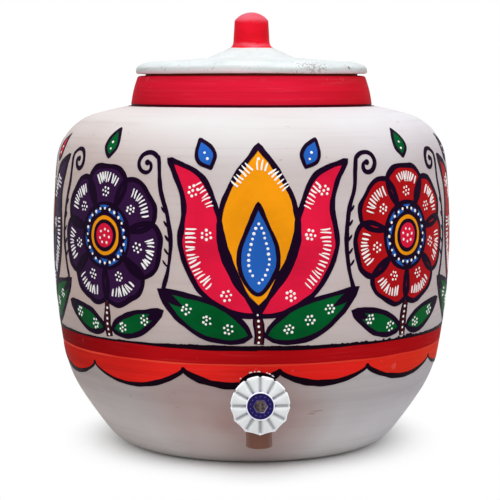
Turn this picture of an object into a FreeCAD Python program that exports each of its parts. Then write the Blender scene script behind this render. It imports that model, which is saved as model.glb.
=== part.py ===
import FreeCAD, Part
import math
import os

# Painted clay water pot with a plastic screw-down tap. Millimetres.
# +Z is up, the origin is the centre of the flat base, and the tap points along -Y.
# Heights of the pot are measured from the base, and stations of the tap are
# distances outward from the pot's upright axis.

V = FreeCAD.Vector
Z_AXIS = V(0, 0, 1)
UPRIGHT = 90.0

# --- clay pot: the outline is a chain of tangent arcs on each side of the belly ---
# Angles are the outline's headings in degrees: 0 is level at the foot, 90 upright.
BELLY_RADIUS = 140.0
BELLY_ARC = 459.0
HAUNCH_ARC = 83.7
FLANK_ARC = 333.0
FOOT_ARC = 25.6
SHOULDER_ARC = 36.7
CROWN_ARC = 281.0
FLANK_ANGLE = 52.1
HAUNCH_ANGLE = 57.8
BELLY_LOW_ANGLE = 80.3
BELLY_HIGH_ANGLE = 96.8
SHOULDER_ANGLE = 164.8
CROWN_ANGLE = 170.0
CLAY_WALL = 9.0

COLLAR_FOOT = 2.5
COLLAR_HEIGHT = 21.6
COLLAR_ANGLE = 13.9
RIM_ROUND = 3.0
RIM_INNER_ROUND = 2.0
COLLAR_WALL = 8.8

# --- clay lid ---
LID_OVERHANG = 1.2
LID_EDGE_ROUND = 3.0
LID_EDGE_HEIGHT = 8.8
LID_EDGE_WIDTH = 10.5
LID_EDGE_BULGE = 1.4
LID_DISH_RISE = 3.1
LID_DOME_RADIUS = 30.5
LID_DOME_RISE = 6.7
LID_KNOB_RADIUS = 13.2
LID_KNOB_FLARE = 3.2
LID_KNOB_FOOT = 1.6
LID_KNOB_ANGLE = 3.5
LID_KNOB_SIDE = 16.6
LID_KNOB_BROW = 1.2
LID_KNOB_CROWN = 15.0
LID_RING_DEPTH = 8.0
LID_RING_WALL = 6.0
LID_RING_CLEARANCE = 1.5
LID_HOLLOW_RADIUS = 42.0
LID_HOLLOW_DEPTH = 6.0

# --- tap hole and its clay seats ---
TAP_HEIGHT = 54.0
SEAT_PROUD = 1.0
SEAT_THICKNESS = 17.5
SEAT_RADIUS = 14.0
HOLE_CLEARANCE = 0.6

# --- tap body ---
SHANK_RADIUS = 8.0
SHANK_THREAD_DEPTH = 0.8
SHANK_PITCH = 2.0
SHANK_BORE = 5.0
SHANK_TAIL = 2.0
GASKET_THICKNESS = 2.5
GASKET_RADIUS = 12.5
FLANGE_RADIUS = 12.0
FLANGE_THICKNESS = 2.5
SEAT_WEB = 2.6
SEAT_HOLE = 4.0
LIP_HEIGHT = 1.0
LIP_WIDTH = 1.1
CHAMBER_RADIUS = 7.2
CHAMBER_LENGTH = 13.6
BARREL_RADIUS = 10.4
BARREL_EDGE = 0.8
SPOUT_OFFSET = 10.1
SPOUT_TOP_RADIUS = 9.1
SPOUT_RADIUS = 8.2
SPOUT_BORE = 5.5
SPOUT_BORE_LENGTH = 20.0
SPOUT_THROAT = 5.8
SPOUT_LAND = 10.0
SPOUT_END_HEIGHT = 24.0
SPOUT_EDGE = 0.6

# --- lock nut inside the pot ---
NUT_HEX_RADIUS = 13.6
NUT_LENGTH = 6.5
THREAD_CLEARANCE = 0.12

# --- bonnet ---
BONNET_THREAD_RADIUS = 8.0
BONNET_THREAD_DEPTH = 0.6
BONNET_PITCH = 1.8
BONNET_TURNS = 3
BONNET_NOSE_RADIUS = 6.6
BONNET_HEX_RADIUS = 10.9
BONNET_HEX_LENGTH = 3.0
BONNET_SEAL = 1.0
NOSE_CLEARANCE = 0.3

# --- spindle, jumper valve and washer ---
VALVE_LIFT = 4.0
WASHER_RADIUS = 5.3
WASHER_THICKNESS = 2.0
JUMPER_RADIUS = 5.6
JUMPER_THICKNESS = 2.0
JUMPER_STEM = 1.5
JUMPER_STEM_LENGTH = 4.5
STUD_RADIUS = 1.2
STUD_TAIL = 0.5
WASHER_NUT_RADIUS = 2.6
WASHER_NUT_LENGTH = 1.5
SPINDLE_RADIUS = 4.0
SPINDLE_CLEARANCE = 0.08
SPINDLE_COLLAR = 5.2
SPINDLE_COLLAR_LENGTH = 1.2
SPINDLE_THREAD_LENGTH = 9.8
SOCKET_CLEARANCE = 0.2
STEM_RADIUS = 3.4
RING_SECTION = 0.8
RING_GROOVE_GAP = 0.1
HEX_FLATS = 7.0
HEX_RECESS = 0.8

# --- knob, its disc and its clip ---
KNOB_RADIUS = 18.6
KNOB_LENGTH = 11.2
KNOB_LOBES = 12
KNOB_LIFT_GAP = 1.0
KNOB_WEB = 3.4
KNOB_SKIRT_WALL = 3.6
FACET_DROP = 3.2
LOBE_BEVEL = 5.0
RING_RADIUS = 9.0
RING_PROUD = 0.6
GROOVE_WIDTH = 1.4
GROOVE_DEPTH = 0.8
DISC_RADIUS = 8.2
DISC_THICKNESS = 1.2
DISC_RECESS = 0.2
DISC_CLEARANCE = 0.05
DISC_HEX_CLEARANCE = 0.2
KNOB_HEX_CLEARANCE = 0.05
CLIP_RADIUS = 6.0
CLIP_THICKNESS = 0.6
CLIP_GROOVE = 0.7
CLIP_INNER = 3.2
CLIP_SLOT = 3.6

CUT_MARGIN = 1.0
TRIM = 60.0


# --- outlines ---

def arc_edge(centre, radius, start, end):
    """An arc of the half outline, between two headings in degrees, and its end point."""
    def at(heading):
        a = math.radians(heading)
        return V(centre.x + radius * math.sin(a), 0, centre.z - radius * math.cos(a))
    middle = 0.5 * (start + end)
    return Part.Arc(at(start), at(middle), at(end)).toShape()


def chain(point, turns, inset):
    """Tangent arcs from a point: each turn is (radius, first heading, last heading).

    The centres are those of the outer face, and the arcs are drawn inset from it."""
    edges = []
    for radius, start, end in turns:
        a = math.radians(start)
        centre = V(point.x - radius * math.sin(a), 0, point.z + radius * math.cos(a))
        edges.append(arc_edge(centre, radius - inset, start, end))
        b = math.radians(end)
        point = V(centre.x + radius * math.sin(b), 0, centre.z - radius * math.cos(b))
    return edges, point


LOWER_TURNS = [
    (BELLY_ARC, UPRIGHT, BELLY_LOW_ANGLE),
    (HAUNCH_ARC, BELLY_LOW_ANGLE, HAUNCH_ANGLE),
    (FLANK_ARC, HAUNCH_ANGLE, FLANK_ANGLE),
    (FOOT_ARC, FLANK_ANGLE, 0.0),
]
UPPER_TURNS = [
    (BELLY_ARC, UPRIGHT, BELLY_HIGH_ANGLE),
    (SHOULDER_ARC, BELLY_HIGH_ANGLE, SHOULDER_ANGLE),
    (CROWN_ARC, SHOULDER_ANGLE, CROWN_ANGLE),
]


def belly_height():
    """The height of the widest circle, so that the foot lies at zero."""
    foot = chain(V(BELLY_RADIUS, 0, 0), LOWER_TURNS, 0.0)[1]
    return -foot.z


BELLY_POINT = V(BELLY_RADIUS, 0, belly_height())
FOOT_POINT = chain(BELLY_POINT, LOWER_TURNS, 0.0)[1]
NECK_POINT = chain(BELLY_POINT, UPPER_TURNS, 0.0)[1]


def line(a, b):
    return Part.LineSegment(a, b).toShape()


def polyline(points):
    """Straight edges through (radius, height) pairs."""
    vectors = [V(r, 0, z) for r, z in points]
    return [line(a, b) for a, b in zip(vectors, vectors[1:])]


def revolve(edges):
    """A solid of revolution about Z from an outline that ends on the axis or closes itself."""
    wire = Part.Wire(Part.__sortEdges__(edges))
    if not wire.isClosed():
        ends = [v.Point for v in wire.OrderedVertexes]
        wire = Part.Wire(Part.__sortEdges__(edges + [line(ends[-1], ends[0])]))
    return Part.Face(wire).revolve(V(0, 0, 0), Z_AXIS, 360)


def turned(points):
    """A solid turned from (radius, station) pairs that start and end on the axis or close."""
    return revolve(polyline(points + [points[0]]))


def tube(outer, inner, start, end):
    """A plain ring between two stations."""
    body = Part.makeCylinder(outer, end - start, V(0, 0, start))
    return body.cut(Part.makeCylinder(inner, end - start, V(0, 0, start)))


def hexagon(radius, start, end, first_angle=0.0):
    """A hexagonal bar with the given corner radius."""
    corners = []
    for k in range(7):
        a = math.radians(60 * k + first_angle)
        corners.append(V(radius * math.cos(a), radius * math.sin(a), start))
    return Part.Face(Part.makePolygon(corners)).extrude(V(0, 0, end - start))


def threaded_rod(start, end, major, depth, pitch, slack=0.0):
    """A rod with ring ridges, from one station to another; slack widens it for a nut."""
    count = int(round((end - start) / pitch))
    points = [(0.0, start), (major - depth + slack, start)]
    for k in range(count):
        root = start + k * pitch
        points.append((major + slack, root + 0.5 * pitch))
        points.append((major - depth + slack, root + pitch))
    points.append((0.0, start + count * pitch))
    return turned(points)


def to_tap(shape):
    """Turns a shape drawn about Z, with its station as height, onto the tap's axis."""
    placed = shape.copy()
    placed.rotate(V(0, 0, 0), V(1, 0, 0), 90)
    placed.translate(V(0, 0, TAP_HEIGHT))
    return placed


# --- stations of the tap, outward from the pot's axis ---

def wall_radius(height):
    """The outer radius of the pot at a height below the belly."""
    outline = Part.Wire(Part.__sortEdges__(chain(BELLY_POINT, LOWER_TURNS, 0.0)[0]))
    cut = line(V(0, 0, height), V(2 * BELLY_RADIUS, 0, height))
    return outline.distToShape(cut)[1][0][0].x


SEAT = wall_radius(TAP_HEIGHT) + SEAT_PROUD
INNER_SEAT = SEAT - SEAT_THICKNESS
NUT_FACE = INNER_SEAT - GASKET_THICKNESS
NUT_END = NUT_FACE - NUT_LENGTH
FLANGE_BACK = SEAT + GASKET_THICKNESS
FLANGE_FRONT = FLANGE_BACK + FLANGE_THICKNESS
CHAMBER_FLOOR = FLANGE_FRONT + SEAT_WEB
LIP_FACE = CHAMBER_FLOOR + LIP_HEIGHT
WASHER_FACE = LIP_FACE + WASHER_THICKNESS
JUMPER_FACE = WASHER_FACE + JUMPER_THICKNESS
COLLAR_FACE = JUMPER_FACE + SPINDLE_COLLAR_LENGTH
NOSE = COLLAR_FACE + VALVE_LIFT + NOSE_CLEARANCE
THREAD_START = CHAMBER_FLOOR + CHAMBER_LENGTH
BARREL_END = THREAD_START + BONNET_TURNS * BONNET_PITCH
BONNET_BACK = BARREL_END + BONNET_SEAL
BONNET_FRONT = BONNET_BACK + BONNET_HEX_LENGTH
SPOUT_STATION = FLANGE_FRONT + SPOUT_OFFSET
SHANK_TURNS = math.ceil((SEAT - NUT_END + SHANK_TAIL) / SHANK_PITCH)
SHANK_THREAD_END = NUT_END - SHANK_TAIL + SHANK_TURNS * SHANK_PITCH
SPINDLE_THREAD_END = COLLAR_FACE + SPINDLE_THREAD_LENGTH
GROOVE_START = SPINDLE_THREAD_END + 0.5 * RING_SECTION
GROOVE_END = GROOVE_START + 2 * RING_SECTION + RING_GROOVE_GAP
WEB_BACK = BONNET_FRONT + KNOB_LIFT_GAP
CLIP_SEAT = WEB_BACK + KNOB_WEB
DISC_SEAT = CLIP_SEAT + CLIP_THICKNESS + DISC_RECESS
DISC_FACE = DISC_SEAT + DISC_THICKNESS
KNOB_FACE = DISC_FACE + DISC_RECESS
KNOB_BACK = KNOB_FACE - KNOB_LENGTH
SPINDLE_END = DISC_FACE - HEX_RECESS
HEX_RADIUS = HEX_FLATS / math.sqrt(3)


# --- clay pieces ---

def collar_points():
    """Foot, lean and top of the collar's outer face, up to its rounded rim."""
    foot = (NECK_POINT.x, NECK_POINT.z + COLLAR_FOOT)
    height = COLLAR_HEIGHT - COLLAR_FOOT
    run = height * math.tan(math.radians(COLLAR_ANGLE))
    top = (foot[0] - run, NECK_POINT.z + COLLAR_HEIGHT)
    return foot, top


RIM_HEIGHT = NECK_POINT.z + COLLAR_HEIGHT
RIM_RADIUS = collar_points()[1][0]
MOUTH_RADIUS = RIM_RADIUS - COLLAR_WALL
LID_RADIUS = RIM_RADIUS + LID_OVERHANG


def pot_outline():
    """The closed half section of the pot, with the collar and the mouth."""
    lower_out = chain(BELLY_POINT, LOWER_TURNS, 0.0)[0]
    upper_out = chain(BELLY_POINT, UPPER_TURNS, 0.0)[0]
    lower_in = chain(BELLY_POINT, LOWER_TURNS, CLAY_WALL)[0]
    upper_in = chain(BELLY_POINT, UPPER_TURNS, CLAY_WALL)[0]
    end = math.radians(CROWN_ANGLE)
    inner = (NECK_POINT.x - CLAY_WALL * math.sin(end), NECK_POINT.z + CLAY_WALL * math.cos(end))
    throat = inner[1] + (MOUTH_RADIUS - inner[0]) * math.tan(end)
    foot, top = collar_points()
    edges = lower_out + upper_out + lower_in + upper_in
    edges += polyline([(NECK_POINT.x, NECK_POINT.z), foot, top, (MOUTH_RADIUS, RIM_HEIGHT)])
    edges += polyline([(MOUTH_RADIUS, RIM_HEIGHT), (MOUTH_RADIUS, throat), inner])
    edges += polyline([(FOOT_POINT.x, 0.0), (0.0, 0.0), (0.0, CLAY_WALL), (FOOT_POINT.x, CLAY_WALL)])
    return edges


def rim_edges(solid, radius):
    """The circular edge of the rim with the given radius."""
    found = []
    for edge in solid.Edges:
        box = edge.BoundBox
        level = abs(box.ZMin - RIM_HEIGHT) < 0.01 and abs(box.ZMax - RIM_HEIGHT) < 0.01
        if level and abs(box.XMax - radius) < 0.01:
            found.append(edge)
    return found


def make_pot_body():
    """The pot: belly, shoulder and collar in one wall, with a flat seat each side of the tap."""
    pot = revolve(pot_outline())
    pot = pot.makeFillet(RIM_ROUND, rim_edges(pot, RIM_RADIUS))
    pot = pot.makeFillet(RIM_INNER_ROUND, rim_edges(pot, MOUTH_RADIUS))
    boss = Part.makeCylinder(SEAT_RADIUS, SEAT_THICKNESS, V(0, 0, INNER_SEAT))
    outside = Part.makeCylinder(SEAT_RADIUS, TRIM, V(0, 0, SEAT))
    inside = Part.makeCylinder(SEAT_RADIUS, TRIM, V(0, 0, INNER_SEAT - TRIM))
    hole_radius = SHANK_RADIUS + HOLE_CLEARANCE
    hole = Part.makeCylinder(hole_radius, 2 * TRIM, V(0, 0, INNER_SEAT - 0.5 * TRIM))
    pot = pot.fuse(to_tap(boss))
    return pot.cut([to_tap(outside), to_tap(inside), to_tap(hole)])


def lid_outline():
    """The half section of the lid, from the axis below to the axis above."""
    base = RIM_HEIGHT
    ring_out = MOUTH_RADIUS - LID_RING_CLEARANCE
    ring_in = ring_out - LID_RING_WALL
    edge_top = V(LID_RADIUS - LID_EDGE_WIDTH, 0, base + LID_EDGE_HEIGHT)
    side_low = V(LID_RADIUS, 0, base + LID_EDGE_ROUND)
    tuck = (1.0 - math.sqrt(0.5)) * LID_EDGE_ROUND
    low_mid = V(LID_RADIUS - tuck, 0, base + tuck)
    chord = edge_top - side_low
    outward = V(chord.z, 0, -chord.x).normalize()
    side_mid = (side_low + edge_top) * 0.5 + outward * LID_EDGE_BULGE
    dome_foot = (LID_DOME_RADIUS, base + LID_EDGE_HEIGHT + LID_DISH_RISE)
    knob_low = dome_foot[1] + LID_DOME_RISE
    side_foot = knob_low + LID_KNOB_FOOT
    lean = LID_KNOB_SIDE * math.tan(math.radians(LID_KNOB_ANGLE))
    shoulder = V(LID_KNOB_RADIUS - lean, 0, side_foot + LID_KNOB_SIDE)
    hollow = base + LID_HOLLOW_DEPTH
    edges = polyline([
        (0.0, hollow), (LID_HOLLOW_RADIUS, hollow), (LID_HOLLOW_RADIUS + LID_HOLLOW_DEPTH, base),
        (ring_in, base), (ring_in, base - LID_RING_DEPTH), (ring_out, base - LID_RING_DEPTH),
        (ring_out, base), (LID_RADIUS - LID_EDGE_ROUND, base)])
    edges.append(Part.Arc(V(LID_RADIUS - LID_EDGE_ROUND, 0, base), low_mid, side_low).toShape())
    edges.append(Part.Arc(side_low, side_mid, edge_top).toShape())
    edges += polyline([
        (edge_top.x, edge_top.z), dome_foot, (LID_KNOB_RADIUS + LID_KNOB_FLARE, knob_low),
        (LID_KNOB_RADIUS, side_foot), (shoulder.x, shoulder.z)])
    start = UPRIGHT + LID_KNOB_ANGLE
    reach = shoulder.x - LID_KNOB_BROW * math.sin(math.radians(start))
    turn = 180.0 - math.degrees(math.asin(reach / (LID_KNOB_CROWN - LID_KNOB_BROW)))
    edges += chain(shoulder, [(LID_KNOB_BROW, start, turn), (LID_KNOB_CROWN, turn, 180.0)], 0.0)[0]
    return edges


def make_lid():
    """The lid: a plate with a rounded edge, a low dome, a solid knob and a ring below."""
    return revolve(lid_outline())


# --- fixed pieces of the tap, drawn about Z with the station as height ---

def make_tap_body():
    """Shank, flange, barrel and spout in one moulding, with the valve seat inside."""
    shank = threaded_rod(NUT_END - SHANK_TAIL, SHANK_THREAD_END, SHANK_RADIUS,
                         SHANK_THREAD_DEPTH, SHANK_PITCH)
    neck_radius = SHANK_RADIUS - SHANK_THREAD_DEPTH
    shell = turned([
        (0.0, SHANK_THREAD_END), (neck_radius, SHANK_THREAD_END), (neck_radius, FLANGE_BACK),
        (FLANGE_RADIUS, FLANGE_BACK), (FLANGE_RADIUS, FLANGE_FRONT), (BARREL_RADIUS, FLANGE_FRONT),
        (BARREL_RADIUS, BARREL_END - BARREL_EDGE), (BARREL_RADIUS - BARREL_EDGE, BARREL_END),
        (0.0, BARREL_END)])
    drop = TAP_HEIGHT - SPOUT_END_HEIGHT
    down = V(0, -1, 0)
    cone = Part.makeCone(SPOUT_TOP_RADIUS, SPOUT_RADIUS, drop - SPOUT_LAND, V(0, 0, SPOUT_STATION), down)
    land_top = V(0, SPOUT_LAND - drop, SPOUT_STATION)
    land = Part.makeCylinder(SPOUT_RADIUS, SPOUT_LAND - SPOUT_EDGE, land_top, down)
    edge_top = V(0, SPOUT_EDGE - drop, SPOUT_STATION)
    edge = Part.makeCone(SPOUT_RADIUS, SPOUT_RADIUS - SPOUT_EDGE, SPOUT_EDGE, edge_top, down)
    body = shell.fuse([shank, cone, land, edge])
    inlet = Part.makeCylinder(SHANK_BORE, FLANGE_FRONT - NUT_END + SHANK_TAIL, V(0, 0, NUT_END - SHANK_TAIL))
    seat_hole = Part.makeCylinder(SEAT_HOLE, LIP_FACE - FLANGE_FRONT, V(0, 0, FLANGE_FRONT))
    chamber = Part.makeCylinder(CHAMBER_RADIUS, CHAMBER_LENGTH, V(0, 0, CHAMBER_FLOOR))
    lip = tube(SEAT_HOLE + LIP_WIDTH, SEAT_HOLE, CHAMBER_FLOOR, LIP_FACE)
    socket = threaded_rod(THREAD_START, BARREL_END, BONNET_THREAD_RADIUS, BONNET_THREAD_DEPTH,
                          BONNET_PITCH, THREAD_CLEARANCE)
    throat = Part.makeCylinder(SPOUT_THROAT, drop - SPOUT_BORE_LENGTH, V(0, 0, SPOUT_STATION), down)
    outlet = Part.makeCylinder(SPOUT_BORE, drop, V(0, 0, SPOUT_STATION), down)
    return body.cut([inlet, seat_hole, chamber.cut(lip), socket, throat, outlet])


def make_outer_gasket():
    """The rubber washer between the flange and the outside of the pot."""
    return tube(GASKET_RADIUS, SHANK_RADIUS + HOLE_CLEARANCE, SEAT, FLANGE_BACK)


def make_inner_gasket():
    """The rubber washer between the lock nut and the inside of the pot."""
    return tube(GASKET_RADIUS, SHANK_RADIUS + HOLE_CLEARANCE, NUT_FACE, INNER_SEAT)


def make_lock_nut():
    """The hexagonal nut that draws the tap against the wall."""
    blank = hexagon(NUT_HEX_RADIUS, NUT_END, NUT_FACE)
    tool = threaded_rod(NUT_END - SHANK_TAIL, SHANK_THREAD_END, SHANK_RADIUS,
                        SHANK_THREAD_DEPTH, SHANK_PITCH, THREAD_CLEARANCE)
    return blank.cut(tool)


def make_bonnet():
    """The threaded plug that guides the spindle and closes the barrel."""
    root = BONNET_THREAD_RADIUS - BONNET_THREAD_DEPTH
    nose = Part.makeCylinder(BONNET_NOSE_RADIUS, THREAD_START - NOSE, V(0, 0, NOSE))
    thread = threaded_rod(THREAD_START, BARREL_END, BONNET_THREAD_RADIUS, BONNET_THREAD_DEPTH, BONNET_PITCH)
    relief = Part.makeCylinder(root, BONNET_SEAL, V(0, 0, BARREL_END))
    head = hexagon(BONNET_HEX_RADIUS, BONNET_BACK, BONNET_FRONT)
    bore_radius = SPINDLE_RADIUS + SPINDLE_CLEARANCE
    bore = Part.makeCylinder(bore_radius, BONNET_FRONT - NOSE, V(0, 0, NOSE))
    return head.fuse([relief, thread, nose]).cut(bore)


def make_bonnet_seal():
    """The flat rubber ring between the barrel and the bonnet's head."""
    outer = BARREL_RADIUS - BARREL_EDGE
    return tube(outer, BONNET_THREAD_RADIUS - BONNET_THREAD_DEPTH + THREAD_CLEARANCE, BARREL_END, BONNET_BACK)


# --- pieces that slide with the valve ---

def make_jumper():
    """The valve plate, with a stem in the spindle's socket and a stud through the washer."""
    stud_end = LIP_FACE - WASHER_NUT_LENGTH - STUD_TAIL
    return turned([
        (0.0, stud_end), (STUD_RADIUS, stud_end), (STUD_RADIUS, WASHER_FACE),
        (JUMPER_RADIUS, WASHER_FACE), (JUMPER_RADIUS, JUMPER_FACE), (JUMPER_STEM, JUMPER_FACE),
        (JUMPER_STEM, JUMPER_FACE + JUMPER_STEM_LENGTH), (0.0, JUMPER_FACE + JUMPER_STEM_LENGTH)])


def make_valve_washer():
    """The rubber disc that closes on the seat's lip."""
    return tube(WASHER_RADIUS, STUD_RADIUS, LIP_FACE, WASHER_FACE)


def make_washer_nut():
    """The small nut that holds the washer on the jumper."""
    blank = hexagon(WASHER_NUT_RADIUS, LIP_FACE - WASHER_NUT_LENGTH, LIP_FACE)
    return blank.cut(Part.makeCylinder(STUD_RADIUS, WASHER_NUT_LENGTH, V(0, 0, LIP_FACE - WASHER_NUT_LENGTH)))


# --- pieces that turn with the knob ---

def make_spindle():
    """The spindle: stop collar, screwed part, seal groove and hexagonal end."""
    groove_radius = SPINDLE_RADIUS - 2 * RING_SECTION
    stem_end = WEB_BACK - 0.5 * KNOB_LIFT_GAP
    body = turned([
        (0.0, JUMPER_FACE), (SPINDLE_COLLAR, JUMPER_FACE), (SPINDLE_COLLAR, COLLAR_FACE),
        (SPINDLE_RADIUS, COLLAR_FACE), (SPINDLE_RADIUS, GROOVE_START), (groove_radius, GROOVE_START),
        (groove_radius, GROOVE_END), (SPINDLE_RADIUS, GROOVE_END),
        (SPINDLE_RADIUS, GROOVE_END + RING_SECTION), (STEM_RADIUS, GROOVE_END + 2 * RING_SECTION),
        (STEM_RADIUS, stem_end), (0.0, stem_end)])
    end = hexagon(HEX_RADIUS, stem_end, SPINDLE_END)
    clip_groove = tube(SPINDLE_RADIUS + HEX_RADIUS, CLIP_INNER, CLIP_SEAT, CLIP_SEAT + CLIP_GROOVE)
    socket_radius = JUMPER_STEM + SOCKET_CLEARANCE
    socket = Part.makeCylinder(socket_radius, JUMPER_STEM_LENGTH + SOCKET_CLEARANCE, V(0, 0, JUMPER_FACE))
    return body.fuse(end).cut([clip_groove, socket])


def make_stem_ring():
    """The O-ring in the spindle's groove."""
    middle = SPINDLE_RADIUS - RING_SECTION
    return Part.makeTorus(middle, RING_SECTION, V(0, 0, GROOVE_START + RING_SECTION + 0.5 * RING_GROOVE_GAP))


def facet_slope():
    return FACET_DROP / (KNOB_RADIUS - RING_RADIUS)


def facet_station(distance):
    """Where a facet of the knob's face lies at a distance from the axis, across the facet."""
    return KNOB_FACE - RING_PROUD - (distance - RING_RADIUS) * facet_slope()


def twelve_sided(near, far):
    """A frustum with a side for each lobe, between two (distance to a side, station) pairs."""
    half = math.pi / KNOB_LOBES
    wires = []
    for distance, station in (near, far):
        corners = []
        for k in range(KNOB_LOBES + 1):
            a = 2 * half * k + 0.5 * math.pi
            corner = distance / math.cos(half)
            corners.append(V(corner * math.cos(a), corner * math.sin(a), station))
        wires.append(Part.makePolygon(corners))
    faces = [Part.Face(wire) for wire in wires]
    for a, b in zip(wires[0].Edges, wires[1].Edges):
        faces += Part.makeRuledSurface(a, b).Faces
    return Part.makeSolid(Part.makeShell(faces))


def make_knob_facets():
    """The low pyramid that bounds the lobes' faces."""
    inner = 0.5 * RING_RADIUS
    reach = RING_RADIUS + (KNOB_FACE - KNOB_BACK) / facet_slope()
    return twelve_sided((inner, facet_station(inner)), (reach, facet_station(reach)))


def make_knob_bevel():
    """The steep frustum that flattens each lobe's rim near its face."""
    edge = KNOB_RADIUS * math.cos(math.pi / KNOB_LOBES)
    spread = (KNOB_RADIUS - edge) / LOBE_BEVEL
    front = facet_station(edge)
    ends = [(edge + (front - station) * spread, station) for station in (KNOB_FACE, KNOB_BACK)]
    return twelve_sided(*ends)


def make_knob_groove(k):
    """The cut between two lobes: along the face and down the side."""
    corner = 2 * math.pi * k / KNOB_LOBES + 0.5 * math.pi
    across = math.cos(math.pi / KNOB_LOBES)
    inner = RING_RADIUS + GROOVE_DEPTH
    side = KNOB_RADIUS - GROOVE_DEPTH
    outline = [
        (inner, facet_station(inner * across) - GROOVE_DEPTH),
        (side, facet_station(side * across) - GROOVE_DEPTH),
        (side, KNOB_BACK - CUT_MARGIN), (KNOB_RADIUS + CUT_MARGIN, KNOB_BACK - CUT_MARGIN),
        (KNOB_RADIUS + CUT_MARGIN, KNOB_FACE + CUT_MARGIN), (inner, KNOB_FACE + CUT_MARGIN)]
    corners = [V(r, -0.5 * GROOVE_WIDTH, z) for r, z in outline]
    tool = Part.Face(Part.makePolygon(corners + [corners[0]])).extrude(V(0, GROOVE_WIDTH, 0))
    tool.rotate(V(0, 0, 0), Z_AXIS, math.degrees(corner))
    return tool


def make_tap_knob():
    """The knob: twelve lobes with sloping faces round a raised ring, hollow behind."""
    length = KNOB_FACE - KNOB_BACK
    lobes = Part.makeCylinder(KNOB_RADIUS, length, V(0, 0, KNOB_BACK))
    lobes = lobes.common(make_knob_facets()).common(make_knob_bevel())
    ring = Part.makeCylinder(RING_RADIUS, KNOB_FACE - WEB_BACK, V(0, 0, WEB_BACK))
    lobes = lobes.fuse(ring)
    tools = [make_knob_groove(k) for k in range(KNOB_LOBES)]
    hollow_radius = KNOB_RADIUS - GROOVE_DEPTH - KNOB_SKIRT_WALL
    tools.append(Part.makeCylinder(hollow_radius, WEB_BACK - KNOB_BACK, V(0, 0, KNOB_BACK)))
    recess_radius = DISC_RADIUS + DISC_CLEARANCE
    tools.append(Part.makeCylinder(recess_radius, KNOB_FACE - DISC_SEAT, V(0, 0, DISC_SEAT)))
    tools.append(Part.makeCylinder(CLIP_RADIUS + DISC_RECESS, DISC_SEAT - CLIP_SEAT, V(0, 0, CLIP_SEAT)))
    hex_hole = (HEX_FLATS + 2 * KNOB_HEX_CLEARANCE) / math.sqrt(3)
    tools.append(hexagon(hex_hole, WEB_BACK, CLIP_SEAT))
    return lobes.cut(tools)


def make_knob_clip():
    """The open spring ring in the spindle's groove that keeps the knob on."""
    ring = tube(CLIP_RADIUS, CLIP_INNER, CLIP_SEAT, CLIP_SEAT + CLIP_THICKNESS)
    slot = Part.makeBox(CLIP_SLOT, CLIP_RADIUS, CLIP_THICKNESS, V(-0.5 * CLIP_SLOT, 0, CLIP_SEAT))
    return ring.cut(slot)


def make_knob_disc():
    """The coloured disc in the knob's face, open over the spindle's end."""
    hex_hole = (HEX_FLATS + 2 * DISC_HEX_CLEARANCE) / math.sqrt(3)
    plate = Part.makeCylinder(DISC_RADIUS, DISC_THICKNESS, V(0, 0, DISC_SEAT))
    return plate.cut(hexagon(hex_hole, DISC_SEAT, DISC_FACE))


POT_PIECES = {
    "pot_body": make_pot_body,
    "lid": make_lid,
}
TAP_PIECES = {
    "tap_body": make_tap_body,
    "outer_gasket": make_outer_gasket,
    "inner_gasket": make_inner_gasket,
    "lock_nut": make_lock_nut,
    "bonnet": make_bonnet,
    "bonnet_seal": make_bonnet_seal,
    "jumper": make_jumper,
    "valve_washer": make_valve_washer,
    "washer_nut": make_washer_nut,
    "spindle": make_spindle,
    "stem_ring": make_stem_ring,
    "tap_knob": make_tap_knob,
    "knob_clip": make_knob_clip,
    "knob_disc": make_knob_disc,
}


def main():
    os.makedirs("parts", exist_ok=True)
    shapes = {name: make() for name, make in POT_PIECES.items()}
    for name, make in TAP_PIECES.items():
        shapes[name] = to_tap(make())
    for name, shape in shapes.items():
        shape.exportStep("parts/" + name + ".step")
        box = shape.optimalBoundingBox()
        print("%-13s solids %d valid %s volume %.1f  x %.2f %.2f  y %.2f %.2f  z %.2f %.2f" % (
            name, len(shape.Solids), shape.isValid(), shape.Volume,
            box.XMin, box.XMax, box.YMin, box.YMax, box.ZMin, box.ZMax))


main()
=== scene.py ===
"""Looks of a painted clay water pot with a tap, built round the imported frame.

Metres, +Z up, the front is -Y. Shapes are drawn in millimetres. Paint is drawn on the pot's
unrolled wall: x runs round the belly from the front, y runs up the wall from the band's black line.
"""

import math
import random

import bmesh
import bpy
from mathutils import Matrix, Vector, geometry, noise


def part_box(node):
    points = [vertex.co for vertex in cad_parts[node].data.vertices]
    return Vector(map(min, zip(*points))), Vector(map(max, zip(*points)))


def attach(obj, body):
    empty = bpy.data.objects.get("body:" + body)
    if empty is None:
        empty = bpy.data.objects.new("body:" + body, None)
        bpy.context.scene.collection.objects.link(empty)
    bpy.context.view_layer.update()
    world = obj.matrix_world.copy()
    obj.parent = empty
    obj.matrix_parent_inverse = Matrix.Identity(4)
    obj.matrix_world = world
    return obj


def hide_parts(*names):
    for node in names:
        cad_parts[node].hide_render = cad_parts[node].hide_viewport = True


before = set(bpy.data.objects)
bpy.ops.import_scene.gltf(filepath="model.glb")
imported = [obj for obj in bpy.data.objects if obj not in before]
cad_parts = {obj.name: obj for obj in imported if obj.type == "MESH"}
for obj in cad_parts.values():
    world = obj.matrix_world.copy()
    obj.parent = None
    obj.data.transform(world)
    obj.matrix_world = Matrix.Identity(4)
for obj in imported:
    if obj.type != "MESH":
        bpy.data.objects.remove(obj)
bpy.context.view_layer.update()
random.seed(7)
noise.seed_set(7)

MM = 0.001
TAU = 2 * math.pi
EVEN = (1.0, 1.0, 1.0)

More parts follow.
